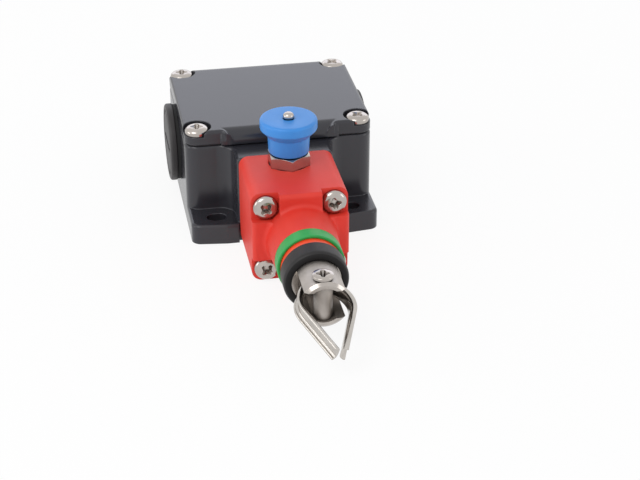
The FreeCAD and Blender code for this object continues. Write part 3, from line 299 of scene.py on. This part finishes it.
def cap_front_shaded_black():
    # The cap's front face: rougher, and a darker copy of the cap's black as painted shade, so that
    # it stays darker than the rim round it.
    return grained("moulded_polyamide_shaded_black", linear("#0f0d0e"), grain_mm=0.5, bump=0.12,
                   roughness=0.6, spread=0.06, mottle=0.12, IOR=1.35)


def moulded_ivory():
    # Thermoset switch moulding: matt, pale, flecked by its filler.
    return grained("moulded_thermoset_ivory", linear("#cdc6b2"), grain_mm=0.7, bump=0.10,
                   roughness=0.55, spread=0.06, IOR=1.55)


def rubber_black():
    # Nitrile rubber cut from sheet: matt, with a dusty drift in its tone.
    return grained("nitrile_rubber_sheet", colours().rubber, grain_mm=0.8, bump=0.15,
                   roughness=0.72, spread=0.06, mottle=0.15, IOR=1.52)


def steel_nickel():
    # Nickel plate on turned steel: warm white, bright, with fine tumbling marks drawn at 0.4 mm.
    return plated("nickel_plate_on_turned_steel", colours().nickel, roughness=0.20, spread=0.06,
                  scratch_mm=0.4, bump=0.10)


def satin_nickel():
    # The same plate over a milled and tumbled surface: satin, so that broad faces shine evenly.
    # Its painted shade reaches 6 mm from the walls, so that the inside of the fork is painted dark.
    return plated("nickel_plate_on_milled_steel", colours().nickel, roughness=0.42, spread=0.07,
                  scratch_mm=0.5, bump=0.15, dull=0.3, reach=6 * MM)


def bevel_nickel():
    # The same plate on the fork's turned front bevel: polished, so that it mirrors the lamps.
    return plated("nickel_plate_on_turned_bevel", colours().nickel, roughness=0.20, spread=0.03,
                  scratch_mm=0.4, bump=0.04, dull=0.5)


def hexagon_nickel():
    # The same plate on drawn hexagon bar: brighter than the fork, so that it mirrors the red below.
    return plated("nickel_plate_on_drawn_hexagon", colours().nickel, roughness=0.24, spread=0.02,
                  scratch_mm=0.4, bump=0.02, dull=0.4)


def pin_nickel():
    # The same plate on the turned pin: painted shade in its recess and round its head draws dark
    # lines.
    return plated("nickel_plate_on_turned_pin", colours().nickel, roughness=0.18, spread=0.05,
                  scratch_mm=0.4, bump=0.05, dull=0.06, reach=2.2 * MM)


def steel_stainless():
    # Stainless strip rolled to a gutter: bright, with rolling lines along it drawn at 0.3 mm.
    return plated("stainless_rolled_strip", colours().stainless, roughness=0.18, spread=0.07,
                  scratch_mm=0.3, bump=0.12, stretch=(1.0, 0.15, 1.0), dull=0.8)


def steel_spring():
    # Drawn spring wire, darkened by its heat treatment.
    return plated("drawn_spring_wire", linear("#8f8d8b"), roughness=0.32, spread=0.06,
                  scratch_mm=0.3, bump=0.10)


def brass_turned():
    # Turned brass bushes, a little dulled.
    return plated("turned_brass", linear("#c9a35c"), roughness=0.28, spread=0.06, scratch_mm=0.3,
                  bump=0.12)


def contact_silver():
    # Silver-plated copper strip: pale and bright, with fine rolling marks.
    return plated("silver_plated_strip", linear("#dcd8cf"), roughness=0.26, spread=0.06,
                  scratch_mm=0.4, bump=0.08)


FINISHES = {
    "powder_coat_black": powder_coat_black,
    "powder_coat_red": powder_coat_red,
    "moulded_black": moulded_black,
    "moulded_blue": moulded_blue,
    "moulded_green": moulded_green,
    "moulded_orange": moulded_orange,
    "moulded_ivory": moulded_ivory,
    "rubber_black": rubber_black,
    "steel_nickel": steel_nickel,
    "steel_stainless": steel_stainless,
    "steel_spring": steel_spring,
    "brass": brass_turned,
    "contact_silver": contact_silver,
}
finishes = {}
slot_of = {part["node"]: part["material_slot"] for part in frame["record"]["subparts"]}


def finish(slot):
    """The finish of a record slot, made once."""
    if slot not in finishes:
        finishes[slot] = FINISHES[slot]()
    return finishes[slot]


def coat(mesh, *skins):
    """Gives a mesh its finishes, in the order that its faces count them."""
    mesh.materials.clear()
    for skin in skins:
        mesh.materials.append(skin)


def dress(*nodes):
    """Gives CAD nodes the finish of their slots."""
    for node in nodes:
        coat(frame["nodes"][node].data, finish(slot_of[node]))


def coat_front(mesh, facing):
    """Puts the second finish on the faces that look along the pull by more than a share."""
    for face in mesh.polygons:
        face.material_index = int(face.normal.y < -facing)


# Mesh tools

SMOOTH_ANGLE = math.radians(32)
TURN_STEPS = 96
ROUND_STEPS = 6


def middle(node):
    """The centre of a CAD node's box."""
    low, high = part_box(node)
    return (low + high) / 2


def rounded(corners, closed=False):
    """A run of corners (x, y, round) as points, with each round drawn as an arc."""
    made = []
    count = len(corners)
    for index, corner in enumerate(corners):
        here = Vector(corner[:2])
        size = corner[2] if len(corner) > 2 else 0.0
        at_end = not closed and index in (0, count - 1)
        if size <= 0 or at_end:
            made.append(here)
            continue
        before = (Vector(corners[index - 1][:2]) - here).normalized()
        after = (Vector(corners[(index + 1) % count][:2]) - here).normalized()
        half = before.angle(after) / 2
        reach = size / math.tan(half)
        centre = here + (before + after).normalized() * size / math.sin(half)
        first = here + before * reach - centre
        last = here + after * reach - centre
        turn = math.atan2(first.x * last.y - first.y * last.x, first.dot(last))
        for step in range(ROUND_STEPS + 1):
            angle = turn * step / ROUND_STEPS
            made.append(centre + Matrix.Rotation(angle, 2) @ first)
    return made


def smooth(mesh):
    """Shades a mesh smooth but for its sharp edges."""
    mesh.polygons.foreach_set("use_smooth", [True] * len(mesh.polygons))
    mesh.set_sharp_from_angle(angle=SMOOTH_ANGLE)
    return mesh


def to_mesh(name, bm):
    """Closes a build as a mesh with outward faces."""
    bmesh.ops.recalc_face_normals(bm, faces=bm.faces)
    mesh = bpy.data.meshes.new(name)
    bm.to_mesh(mesh)
    bm.free()
    return smooth(mesh)


def skinned_mesh(name, rings):
    """A solid skinned over rings of points, closed at both ends."""
    bm = bmesh.new()
    rows = [[bm.verts.new(point) for point in ring] for ring in rings]
    count = len(rows[0])
    for first, second in zip(rows, rows[1:]):
        for index in range(count):
            after = (index + 1) % count
            bm.faces.new((first[index], first[after], second[after], second[index]))
    bm.faces.new(rows[0])
    bm.faces.new(list(reversed(rows[-1])))
    return to_mesh(name, bm)


def turned_mesh(name, points, closed=False):
    """Points (radius, height) turned about Z; closed joins the last to the first.

    A radius of nought closes an end.
    """
    bm = bmesh.new()
    rings = []
    for radius, height in list(points) + ([points[0]] if closed else []):
        if radius < TINY:
            rings.append([bm.verts.new((0, 0, height))])
            continue
        angles = [2 * math.pi * step / TURN_STEPS for step in range(TURN_STEPS)]
        rings.append([bm.verts.new((radius * math.cos(angle), radius * math.sin(angle), height))
                      for angle in angles])
    for lower, upper in zip(rings, rings[1:]):
        for step in range(TURN_STEPS):
            after = (step + 1) % TURN_STEPS
            quad = [lower[step % len(lower)], lower[after % len(lower)],
                    upper[after % len(upper)], upper[step % len(upper)]]
            corners = []
            for vert in quad:
                if vert not in corners:
                    corners.append(vert)
            if len(corners) > 2:
                bm.faces.new(corners)
    bmesh.ops.remove_doubles(bm, verts=bm.verts, dist=TINY)
    return to_mesh(name, bm)


def placed(name, data):
    """A new object in the scene."""
    made = bpy.data.objects.new(name, data)
    bpy.context.scene.collection.objects.link(made)
    return made


def cut(mesh, tool):
    """A mesh with a tool's shape cut out of it."""
    body = placed("cut_body", mesh)
    knife = placed("cut_tool", tool)
    change = body.modifiers.new("cut", "BOOLEAN")
    change.operation = "DIFFERENCE"
    change.solver = "EXACT"
    change.object = knife
    graph = bpy.context.evaluated_depsgraph_get()
    made = bpy.data.meshes.new_from_object(body.evaluated_get(graph))
    bpy.data.objects.remove(body)
    bpy.data.objects.remove(knife)
    made.name = mesh.name
    return smooth(made)


def joined(name, mesh, places):
    """Copies of a mesh at several places as one mesh."""
    bm = bmesh.new()
    for place in places:
        copy = mesh.copy()
        copy.transform(place)
        bm.from_mesh(copy)
        bpy.data.meshes.remove(copy)
    return to_mesh(name, bm)


def piece(name, mesh, body, *nodes):
    """Sets a mesh in the scene in place of CAD nodes, on their body and in their finish."""
    made = placed(name, mesh)
    coat(mesh, finish(slot_of[nodes[0]]))
    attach(made, body)
    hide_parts(*nodes)
    return made


def rolled(degrees):
    """A turn about the Z axis."""
    return Matrix.Rotation(math.radians(degrees), 4, "Z")


def cross_tool(top):
    """The tapered four-lobed tool that sinks a driver recess below a level."""
    above = 1.0 * MM
    mouth, foot = 1.2, 0.42
    rings = []
    for level, taper in ((top + above, mouth), (top - sizes().recess_depth, foot)):
        reach = sizes().recess_span / 2 * taper
        half = sizes().recess_wing / 2 * taper
        core = sizes().recess_core / 2 * taper
        ring = []
        for quarter in range(4):
            turn = Matrix.Rotation(math.pi / 2 * quarter, 2)
            for corner in ((reach, -half), (reach, half), (core, core)):
                x, y = turn @ Vector(corner)
                ring.append((x, y, level))
        rings.append(ring)
    return skinned_mesh("cross_tool", rings)


def pan_screw(name, head_radius, head_height, shank_radius, shank_length, wall=0.34):
    """A pan-head screw with a cross recess, its seat at nought and its head upwards.

    The wall is the share of the head's height that stands straight below its crown.
    """
    foot, foot_rise = 0.96, 0.12 * MM
    crown_radius, crown_height, crown_steps = 0.5, 0.94, 12
    dome_radius, dome_height = 0.25, 0.985
    shoulder = head_height * wall
    profile = [(0, -shank_length), (shank_radius, -shank_length), (shank_radius, 0),
               (head_radius * foot, 0), (head_radius, foot_rise), (head_radius, shoulder)]
    for step in range(1, crown_steps + 1):
        angle = math.pi / 2 * step / crown_steps
        profile.append((head_radius * (1 - crown_radius + crown_radius * math.cos(angle)),
                        shoulder + (head_height * crown_height - shoulder) * math.sin(angle)))
    profile.append((head_radius * dome_radius, head_height * dome_height))
    profile.append((0, head_height))
    return cut(turned_mesh(name, profile), cross_tool(head_height))


class SWITCH_OT_castings(bpy.types.Operator):
    """Powder-coat the box, its cover and the pull head"""

    bl_idname = "rope_switch.castings"
    bl_label = "Castings"

    def execute(self, context):
        dress("housing", "cover", "head")
        return {"FINISHED"}


class SWITCH_OT_seals(bpy.types.Operator):
    """Finish the flat seals and washers between the castings"""

    bl_idname = "rope_switch.seals"
    bl_label = "Seals"

    def execute(self, context):
        dress("cover_gasket", "head_gasket", "plug_washers", "rod_wiper", "reset_seal")
        return {"FINISHED"}


class SWITCH_OT_screws(bpy.types.Operator):
    """Set pan-head screws with cross recesses in the cover and the head"""

    bl_idname = "rope_switch.screws"
    bl_label = "Screws"

    def execute(self, context):
        head = 4.35 * MM
        shank = 1.82 * MM
        rise = sizes().screw_rise

        # Each screw stopped at its own turn when it was driven home.
        low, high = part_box("cover_screws")
        screw = pan_screw("pan_screw", head, rise, shank, high.z - low.z - rise)
        x, y = high.x - head, high.y - head
        seat = high.z - rise
        rolls = {(-1, -1): -8, (1, -1): 38, (1, 1): 35, (-1, 1): -6}
        places = [Matrix.Translation((x * sx, y * sy, seat)) @ rolled(roll)
                  for (sx, sy), roll in rolls.items()]
        piece("cover_screws_cross", joined("cover_screws_cross", screw, places),
              "housing", "cover_screws")

        low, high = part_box("head_screws")
        screw = pan_screw("long_pan_screw", head, rise, shank, high.y - low.y - rise)
        centre = middle("head_screws")
        x, z = (high.x - low.x) / 2 - head, (high.z - low.z) / 2 - head
        seat = low.y + rise
        rolls = {(-1, 1): 47, (1, 1): 12, (-1, -1): 48, (1, -1): 33}
        places = [Matrix.Translation((centre.x + x * sx, seat, centre.z + z * sz))
                  @ PULL @ rolled(roll) for (sx, sz), roll in rolls.items()]
        piece("head_screws_cross", joined("head_screws_cross", screw, places),
              "housing", "head_screws")
        return {"FINISHED"}


class SWITCH_OT_plugs(bpy.types.Operator):
    """Turn the two conduit plugs with their rims and coin slots"""

    bl_idname = "rope_switch.plugs"
    bl_label = "Conduit plugs"

    def execute(self, context):
        thread, thread_long, thread_round = 9.82 * MM, 7.6 * MM, 0.5 * MM
        slot_long, slot_wide = 17.0 * MM, 2.0 * MM
        for node, side in (("conduit_plug_left", -1), ("conduit_plug_right", 1)):
            low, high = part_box(node)
            centre = middle(node)
            radius = (high.y - low.y) / 2
            tall = high.x - low.x
            head = tall - thread_long
            inner = radius - sizes().plug_rim
            groove = head * 0.2
            lip = head * 0.34
            disc = turned_mesh(node + "_disc", rounded([
                (0, 0), (thread, 0, thread_round), (thread, tall - head),
                (radius, tall - head, lip / 2), (radius, tall, lip),
                (inner + groove, tall, groove / 2), (inner, tall - groove, groove / 2),
                (inner - groove, tall - groove, groove / 2),
                (inner - groove * 2, tall, groove / 2), (0, tall)]))
            slot = bmesh.new()
            bmesh.ops.create_cube(slot, size=1.0)
            bmesh.ops.scale(slot, vec=(slot_long, slot_wide, head), verts=slot.verts)
            bmesh.ops.translate(slot, vec=(0, 0, tall), verts=slot.verts)
            made = cut(disc, to_mesh("coin_slot", slot))
            end = low.x if side > 0 else high.x
            made.transform(Matrix.Translation((end, centre.y, centre.z))
                           @ Matrix.Rotation(math.radians(90 * side), 4, "Y") @ rolled(90))
            piece(node + "_disc", made, "housing", node)
        return {"FINISHED"}


class SWITCH_OT_reset(bpy.types.Operator):
    """Make the pull-to-reset knob, its stem and the hexagon bush"""

    bl_idname = "rope_switch.reset"
    bl_label = "Reset knob"

    def execute(self, context):
        low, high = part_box("reset_knob")
        centre = middle("reset_knob")
        rim = (high.x - low.x) / 2
        tall = high.z - low.z
        neck = 7.5 * MM
        foot = neck - sizes().knob_draft
        bore = 2.58 * MM
        neck_top = 6.5 * MM
        cone_top = neck_top + 2.8 * MM
        stud_hole = 2.08 * MM
        dish, dish_rim, dish_round = 0.25 * MM, 2.0 * MM, 0.5 * MM
        foot_round, neck_round, cone_round, rim_round = 0.8 * MM, 0.7 * MM, 0.9 * MM, 1.1 * MM
        knob = turned_mesh("reset_knob_turned", rounded([
            (bore, 0), (foot, 0, foot_round), (neck, neck_top, neck_round),
            (rim, cone_top, cone_round), (rim, tall, rim_round),
            (stud_hole + dish_rim, tall - dish, dish_round), (stud_hole, tall - dish),
            (stud_hole, neck_top), (bore, neck_top)]), closed=True)
        knob.transform(Matrix.Translation((centre.x, centre.y, low.z)))
        piece("reset_knob_turned", knob, "reset_knob", "reset_knob")

        foot_z = low.z
        top_z = high.z
        low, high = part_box("reset_stem")
        tip = high.z - low.z
        knob_top = top_z - low.z
        seat = foot_z + neck_top - low.z
        collar = (high.x - low.x) / 2
        collar_low, collar_high = 3.3 * MM, 4.7 * MM
        collar_round = 0.2 * MM
        pilot, pilot_round = 1.5 * MM, 0.4 * MM
        shank = 2.5 * MM
        waist, waist_low = 1.7 * MM, 0.1 * MM
        stud, stud_low, stud_round = 2.0 * MM, 0.15 * MM, 0.1 * MM
        dome = 1.5 * MM
        stem = turned_mesh("reset_stem_turned", rounded([
            (0, 0), (pilot, 0, pilot_round), (pilot, collar_low),
            (collar, collar_low, collar_round), (collar, collar_high, collar_round),
            (shank, collar_high), (shank, seat), (waist, seat), (waist, knob_top - waist_low),
            (stud, knob_top + stud_low, stud_round), (stud, tip, dome), (0, tip)]))
        stem.transform(Matrix.Translation((centre.x, centre.y, low.z)))
        piece("reset_stem_turned", stem, "reset_knob", "reset_stem")
        coat(frame["nodes"]["reset_bush"].data, hexagon_nickel())
        return {"FINISHED"}


class SWITCH_OT_bands(bpy.types.Operator):
    """Turn the green ring, the orange-red sleeve and the black cap"""

    bl_idname = "rope_switch.bands"
    bl_label = "Bands and cap"

    def execute(self, context):
        on_axis = Matrix.Translation((0, 0, middle("indicator_ring").z)) @ PULL

        low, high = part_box("indicator_ring")
        outer = (high.x - low.x) / 2
        bore = 10.63 * MM
        back_round, front_round, bore_round = 0.15 * MM, 0.45 * MM, 0.2 * MM
        ring = turned_mesh("indicator_ring_turned", rounded([
            (bore, -high.y), (outer, -high.y, back_round), (outer, -low.y, front_round),
            (bore, -low.y, bore_round)], closed=True), closed=True)
        ring.transform(on_axis)
        piece("indicator_ring_turned", ring, "housing", "indicator_ring")

        low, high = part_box("indicator_sleeve")
        outer = (high.x - low.x) / 2
        wall = 1.5 * MM
        rod = 4.08 * MM
        edge = sizes().edge
        sleeve = turned_mesh("indicator_sleeve_turned", rounded([
            (rod, -low.y), (outer, -low.y, edge), (outer, -high.y, edge),
            (outer - wall, -high.y, edge), (outer - wall, -low.y - wall),
            (rod, -low.y - wall)], closed=True), closed=True)
        sleeve.transform(on_axis)
        piece("indicator_sleeve_turned", sleeve, "pull_rod", "indicator_sleeve")

        low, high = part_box("end_cap")
        outer = (high.x - low.x) / 2
        bore = 8.58 * MM
        back_round, front_round, bore_round = 0.5 * MM, 2.0 * MM, 0.25 * MM
        # The faces that look forward take the darker copy of the black: painted shade on the cap's
        # front.
        shaded_front = 0.75
        cap = turned_mesh("end_cap_turned", rounded([
            (bore, -high.y), (outer, -high.y, back_round), (outer, -low.y, front_round),
            (bore, -low.y, bore_round)], closed=True), closed=True)
        cap.transform(on_axis)
        piece("end_cap_turned", cap, "pull_rod", "end_cap")
        coat(cap, cap_black(), cap_front_shaded_black())
        coat_front(cap, shaded_front)
        return {"FINISHED"}


class SWITCH_OT_clevis(bpy.types.Operator):
    """Finish the clevis in satin nickel and set the cross pin with its driver recess"""

    bl_idname = "rope_switch.clevis"
    bl_label = "Clevis"

    def execute(self, context):
        satin = satin_nickel()
        fork = frame["nodes"]["clevis"].data
        bevel_front = 0.35
        coat(fork, satin, bevel_nickel())
        coat_front(fork, bevel_front)

        low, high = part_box("clevis_pin")
        centre = middle("clevis_pin")
        rise, wall = 1.4 * MM, 0.6
        shank = 3.2 * MM
        roll = -8
        seat = high.z - rise
        pin = pan_screw("clevis_pin_cross", (high.x - low.x) / 2, rise, shank, seat - low.z, wall)
        pin.transform(Matrix.Translation((centre.x, centre.y, seat)) @ rolled(roll))
        piece("clevis_pin_cross", pin, "pull_rod", "clevis_pin")
        coat(pin, pin_nickel(), satin)
        for face in pin.polygons:
            face.material_index = int(face.center.z < seat)
        return {"FINISHED"}


class SWITCH_OT_thimble(bpy.types.Operator):
    """Bend the rope thimble from its gutter section"""

    bl_idname = "rope_switch.thimble"
    bl_label = "Rope thimble"

    def execute(self, context):
        eye, apex, gap = 8.0 * MM, 20.4 * MM, 0.35 * MM
        leg_steps, arc_steps = 8, 48

        # The gutter's path, with its outward side: up one leg, round the eye, down the other.
        lean = eye / apex
        upright = math.sqrt(1 - lean * lean)
        tip = Vector((gap, gap * upright / lean - apex))
        touch = Vector((eye * upright, -eye * lean))
        side = Vector((upright, -lean))
        leg = [(tip.lerp(touch, step / leg_steps), side) for step in range(leg_steps)]
        stations = list(leg)
        first_angle = math.atan2(-lean, upright)
        for step in range(arc_steps + 1):
            angle = first_angle + (math.pi - 2 * first_angle) * step / arc_steps
            out = Vector((math.cos(angle), math.sin(angle)))
            stations.append((out * eye, out))
        for at, out in reversed(leg):
            stations.append((Vector((-at.x, at.y)), Vector((-out.x, out.y))))

        depth, half, sheet, bend = 2.1 * MM, 2.8 * MM, 0.9 * MM, 1.7 * MM
        inside = half - sheet
        rim = sizes().rim_round
        section = rounded([
            (0, -half, bend), (depth, -half, rim), (depth, -inside, rim),
            (sheet, -inside, bend - sheet), (sheet, inside, bend - sheet), (depth, inside, rim),
            (depth, half, rim), (0, half, bend)], closed=True)
        rings = []
        for at, out in stations:
            spots = [at + out * u for u, _ in section]
            rings.append([(spot.x, spot.y, v) for spot, (_, v) in zip(spots, section)])
        gutter = skinned_mesh("rope_thimble_bent", rings)

        # It hangs askew on the pin, as its own weight leaves it.
        askew, about = math.radians(21.0), Vector((0.811, 0.532, 0.242))
        hang = Matrix.Rotation(askew, 4, about)
        aside, ahead, below = 0.3 * MM, 2.8 * MM, 1.35 * MM
        place = (aside, middle("clevis_pin").y - ahead, middle("end_cap").z - below)
        gutter.transform(Matrix.Translation(place) @ hang)
        piece("rope_thimble_bent", gutter, "rope_thimble", "rope_thimble")
        return {"FINISHED"}


class SWITCH_OT_springs(bpy.types.Operator):
    """Wind the springs of round wire, each in place of its CAD spring"""

    bl_idname = "rope_switch.springs"
    bl_label = "Springs"

    def execute(self, context):
        turn_steps, wire_sides = 40, 12
        # Node, joint, wire in mm, turns, whether it stands upright, whether its high end is fixed.
        springs = (("return_spring", "rod_pull", 1.6, 6, False, False),
                   ("reset_spring", "reset_pull", 0.8, 5, True, True),
                   ("plunger_spring", "plunger_lift", 0.6, 3, True, True))
        for node, joint, wire_mm, turns, upright, held_high in springs:
            low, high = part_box(node)
            wire = wire_mm * MM
            long = high.z - low.z if upright else high.y - low.y
            radius = (high.x - low.x - wire) / 2
            steps = turns * turn_steps
            rings = []
            for step in range(steps + 1):
                angle = 2 * math.pi * turns * step / steps
                out = Vector((math.cos(angle), math.sin(angle), 0))
                heart = out * radius + UP * (wire / 2 + (long - wire) * step / steps)
                ring = []
                for corner in range(wire_sides):
                    turn = 2 * math.pi * corner / wire_sides
                    ring.append(heart + (out * math.cos(turn) + UP * math.sin(turn)) * wire / 2)
                rings.append(ring)
            wound = skinned_mesh(node + "_wound", rings)
            if upright:
                wound.transform(Matrix.Translation(middle(node) - UP * long / 2))
            else:
                foot = middle(node) + Vector((0, long / 2, 0))
                wound.transform(Matrix.Translation(foot) @ PULL)
            made = piece(node + "_wound", wound, "housing", node)
            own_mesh(made)
        return {"FINISHED"}


class SWITCH_OT_works(bpy.types.Operator):
    """Finish the works inside the box and the head"""

    bl_idname = "rope_switch.works"
    bl_label = "Inner works"

    def execute(self, context):
        dress("pull_rod", "lock_nut", "spring_collar", "cam_bar", "front_bush", "rear_bush")
        dress("contact_block", "contact_lid", "block_screws", "contact_plunger", "contact_bridges",
              "fixed_contacts", "terminal_clamps", "terminal_screws", "earth_clamp", "earth_screw")
        return {"FINISHED"}


# Stage tools

WHITE = (1, 1, 1, 1)


def seen_rays(tree):
    """One for what the camera sees straight, mirrored or through glass, nought for stray light."""
    path = add(tree, "ShaderNodeLightPath")
    mirrored = add(tree, "ShaderNodeMath",
                   links={0: (path, "Is Camera Ray"), 1: (path, "Is Glossy Ray")},
                   operation="MAXIMUM")
    return add(tree, "ShaderNodeMath",
               links={0: (mirrored, "Value"), 1: (path, "Is Transmission Ray")},
               operation="MAXIMUM")


def lay_floor():
    """A sheet of matt paper under the switch."""
    reach, drop = 4.0, 0.05 * MM
    bm = bmesh.new()
    bm.faces.new([bm.verts.new((x * reach, y * reach, -drop)) for x, y in
                  ((-1, -1), (1, -1), (1, 1), (-1, 1))])
    mesh = to_mesh("studio_floor", bm)
    floor = placed("studio_floor", mesh)
    # What is seen of the paper is mostly plain white, with a small share of its own shade in it,
    # so that the switch keeps a faint soft shadow.
    white_share = 0.88
    paper, tree = start("studio_paper")
    matt = add(tree, "ShaderNodeBsdfDiffuse", {"Color": shade(colours().floor, 1.0)})
    white = add(tree, "ShaderNodeEmission", {"Color": WHITE, "Strength": 1.0})
    share = add(tree, "ShaderNodeMath", {1: white_share}, {0: (seen_rays(tree), "Value")},
                operation="MULTIPLY")
    mixed = add(tree, "ShaderNodeMixShader",
                links={0: (share, "Value"), 1: (matt, "BSDF"), 2: (white, "Emission")})
    add(tree, "ShaderNodeOutputMaterial", links={"Surface": (mixed, "Shader")})
    mesh.materials.append(paper)


def pitch_tent(scene):
    """A white world that looks brighter than the light it gives."""
    given, seen = 0.7, 1.0
    world = bpy.data.worlds.new("studio_tent")
    scene.world = world
    world.use_nodes = True
    tree = world.node_tree
    tree.nodes.clear()
    level = add(tree, "ShaderNodeMapRange", {"To Min": given, "To Max": seen},
                {"Value": (seen_rays(tree), "Value")})
    tent = add(tree, "ShaderNodeBackground", {"Color": WHITE}, {"Strength": (level, "Result")})
    add(tree, "ShaderNodeOutputWorld", links={"Surface": (tent, "Background")})


def hang_lamps():
    """Soft boxes round the switch, each turned to its middle."""
    target = Vector((0, -0.04, 0.02))
    # Name, place and size in metres, power in watts, colour.
    lamps = (("key_softbox", (-0.55, -0.55, 0.85), 0.6, 0.6, 3.2, "#ffffff"),
             ("left_softbox", (-0.95, -0.05, 0.25), 0.5, 0.4, 1.2, "#ffffff"),
             ("right_softbox", (0.85, -0.45, 0.3), 0.4, 0.4, 0.8, "#ffffff"),
             ("back_softbox", (0.15, 0.95, 0.42), 1.3, 0.44, 1.6, "#e6ebff"))
    for name, place, wide, tall, power, tone in lamps:
        light = bpy.data.lights.new(name, "AREA")
        light.shape = "RECTANGLE"
        light.size = wide
        light.size_y = tall
        light.energy = power
        light.color = linear(tone)
        look = (target - Vector(place)).to_track_quat("-Z", "Y")
        placed(name, light).matrix_world = Matrix.Translation(place) @ look.to_matrix().to_4x4()


def set_camera(scene):
    """The camera, at the photograph's viewing angle."""
    turn, tilt = math.radians(-10.40), math.radians(29.29)
    distance = 613.7 * MM
    target = Vector((11.77, -47.51, -0.15)) * MM
    back = Vector((math.sin(turn) * math.cos(tilt), -math.cos(turn) * math.cos(tilt),
                   math.sin(tilt)))
    right = Vector((math.cos(turn), math.sin(turn), 0))
    facing = Matrix((right, back.cross(right), back)).transposed().to_4x4()
    lens = bpy.data.cameras.new("photo_camera")
    lens.sensor_width = 36.0
    lens.lens = 93.6
    lens.clip_start = 0.01
    scene.camera = placed("photo_camera", lens)
    scene.camera.matrix_world = Matrix.Translation(target + back * distance) @ facing


class SWITCH_OT_stage(bpy.types.Operator):
    """Set the floor, the studio light and the camera"""

    bl_idname = "rope_switch.stage"
    bl_label = "Stage"

    def execute(self, context):
        lay_floor()
        pitch_tent(context.scene)
        hang_lamps()
        set_camera(context.scene)
        context.scene.view_settings.view_transform = "Standard"
        return {"FINISHED"}


class SWITCH_PT_panel(bpy.types.Panel):
    """Lists the switch's pieces and its stage"""

    bl_label = "Rope pull switch"
    bl_idname = "SWITCH_PT_panel"
    bl_space_type = "VIEW_3D"
    bl_region_type = "UI"
    bl_category = "Rope switch"

    def draw(self, context):
        for operator in OPERATORS:
            self.layout.operator(operator.bl_idname)
        for group in (sizes(), colours()):
            for name in group.__annotations__:
                self.layout.prop(group, name)


OPERATORS = (SWITCH_OT_castings, SWITCH_OT_seals, SWITCH_OT_screws, SWITCH_OT_plugs,
             SWITCH_OT_reset, SWITCH_OT_bands, SWITCH_OT_clevis, SWITCH_OT_thimble,
             SWITCH_OT_springs, SWITCH_OT_works, SWITCH_OT_stage)
CLASSES = (SwitchSizes, SwitchColours) + OPERATORS + (SWITCH_PT_panel,)


def register():
    for made in CLASSES:
        bpy.utils.register_class(made)
    bpy.types.Scene.rope_switch_sizes = PointerProperty(type=SwitchSizes)
    bpy.types.Scene.rope_switch_colours = PointerProperty(type=SwitchColours)


def unregister():
    del bpy.types.Scene.rope_switch_colours
    del bpy.types.Scene.rope_switch_sizes
    for made in reversed(CLASSES):
        bpy.utils.unregister_class(made)


def main():
    register()
    bpy.ops.rope_switch.castings()
    bpy.ops.rope_switch.seals()
    bpy.ops.rope_switch.screws()
    bpy.ops.rope_switch.plugs()
    bpy.ops.rope_switch.reset()
    bpy.ops.rope_switch.bands()
    bpy.ops.rope_switch.clevis()
    bpy.ops.rope_switch.thimble()
    bpy.ops.rope_switch.springs()
    bpy.ops.rope_switch.works()
    bpy.ops.rope_switch.stage()


if __name__ == "__main__":
    main()
